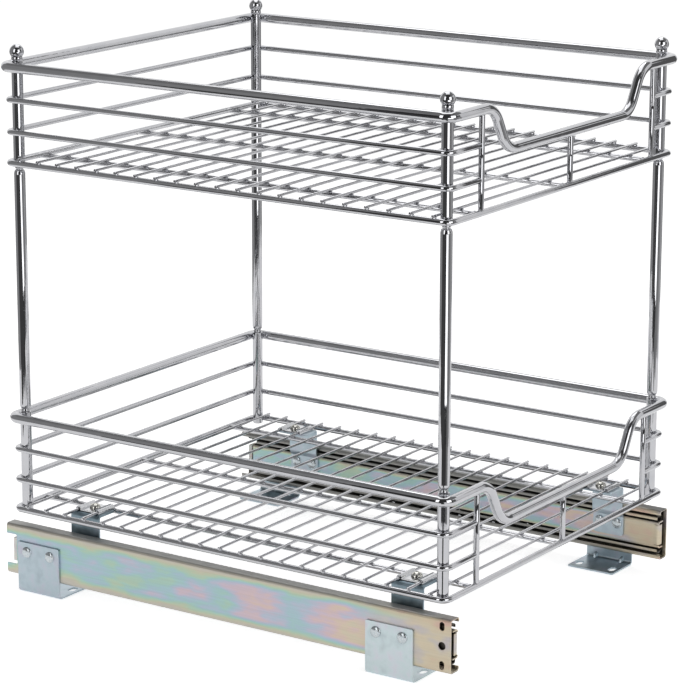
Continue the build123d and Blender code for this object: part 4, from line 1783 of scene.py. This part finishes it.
    def reflect_only(self, name: str, points: Sequence[Vector], light: float,
                     faces: Sequence[Sequence[int]] = ((0, 1, 2, 3),)) -> None:
        """Add a card that only reflections see.

        Args:
            name: name of the card.
            points: its corner points.
            light: its brightness, where one is white.
            faces: its faces.
        """
        card, tree = self.staged(name, name, points, faces)
        add_node(tree, "OutputMaterial", (add_node(tree, "Emission", (linear(WHITE), light)),))
        card.visible_camera = False
        card.visible_diffuse = False
        card.visible_shadow = False
        card.visible_transmission = False

    def direction(self, turn: float) -> Vector:
        """Level direction at a turn from the camera's, in degrees."""
        angle = self.camera_turn + math.radians(turn)
        return Vector((math.cos(angle), math.sin(angle), 0.0))

    def surround(self) -> None:
        """Cards on the floor, round the object and overhead."""
        for card in self.cards:
            first, last = card.turns
            steps = max(1, round((last - first) / self.card_step))
            points = []
            for index in range(steps + 1):
                way = self.direction(first + (last - first) * index / steps)
                for reach in (card.near, card.far):
                    distance, height = (card.stands_at, reach) if card.stands_at else (reach, card.rise)
                    points.append(Vector((*card.middle, height)) + way * distance)
            faces = [(index * 2, index * 2 + 1, index * 2 + 3, index * 2 + 2) for index in range(steps)]
            self.reflect_only(card.name, points, card.light, faces)
        ahead, right = self.direction(0.0), self.direction(90.0)
        for name, near, far, half, height, light in self.overhead:
            spots = ((near, -half), (near, half), (far, half), (far, -half))
            corners = [UP * height - ahead * away + right * aside for away, aside in spots]
            self.reflect_only(name, corners, light)

    def near_cards(self) -> None:
        """A dark tongue before the nearest corner tube, and a strip under the right slide's feet that paints
        the shadow there into reflections.
        """
        near, far, narrow, wide, right_share = self.tongue
        foot = Vector((*NEAR_CORNER, self.tongue_rise))
        way = Vector(PhotoCamera().place) - foot
        way = Vector((way.x, way.y, 0.0)).normalized()
        side = Vector((-way.y, way.x, 0.0))
        spots = ((near, -narrow), (near, narrow * right_share), (far, wide * right_share), (far, -wide))
        corners = [foot + way * reach + side * aside for reach, aside in spots]
        self.reflect_only("mat_tongue", corners, self.tongue_light)
        # Painted shadow: a dark card under the right slide that reflections see in place of the organizer's
        # shadow.
        low, high, half, light = self.under
        spots = ((low, -half), (high, -half), (high, half), (low, half))
        self.reflect_only("mat_under", [Vector((*spot, self.under_rise)) for spot in spots], light)

    def build(self) -> None:
        """Make the studio."""
        bpy.context.scene.view_settings.view_transform = "Standard"
        self.world()
        self.floor()
        self.lights()
        self.surround()
        self.near_cards()


def main() -> None:
    """Build the organizer's pieces in order, then the studio and the camera."""
    logging.basicConfig(level=logging.INFO, format="%(name)s: %(message)s")
    PhotoCamera().build()
    for side in Side:
        BallSlide(side).build()
        for end in End:
            FootBracket(side, end).build()
            BasketBracket(side, end).build()
            CornerPost(side, end).build()
    for tier in Tier:
        Basket(tier).build()
    Fasteners().build()
    Studio().build()


if __name__ == "__main__":
    main()
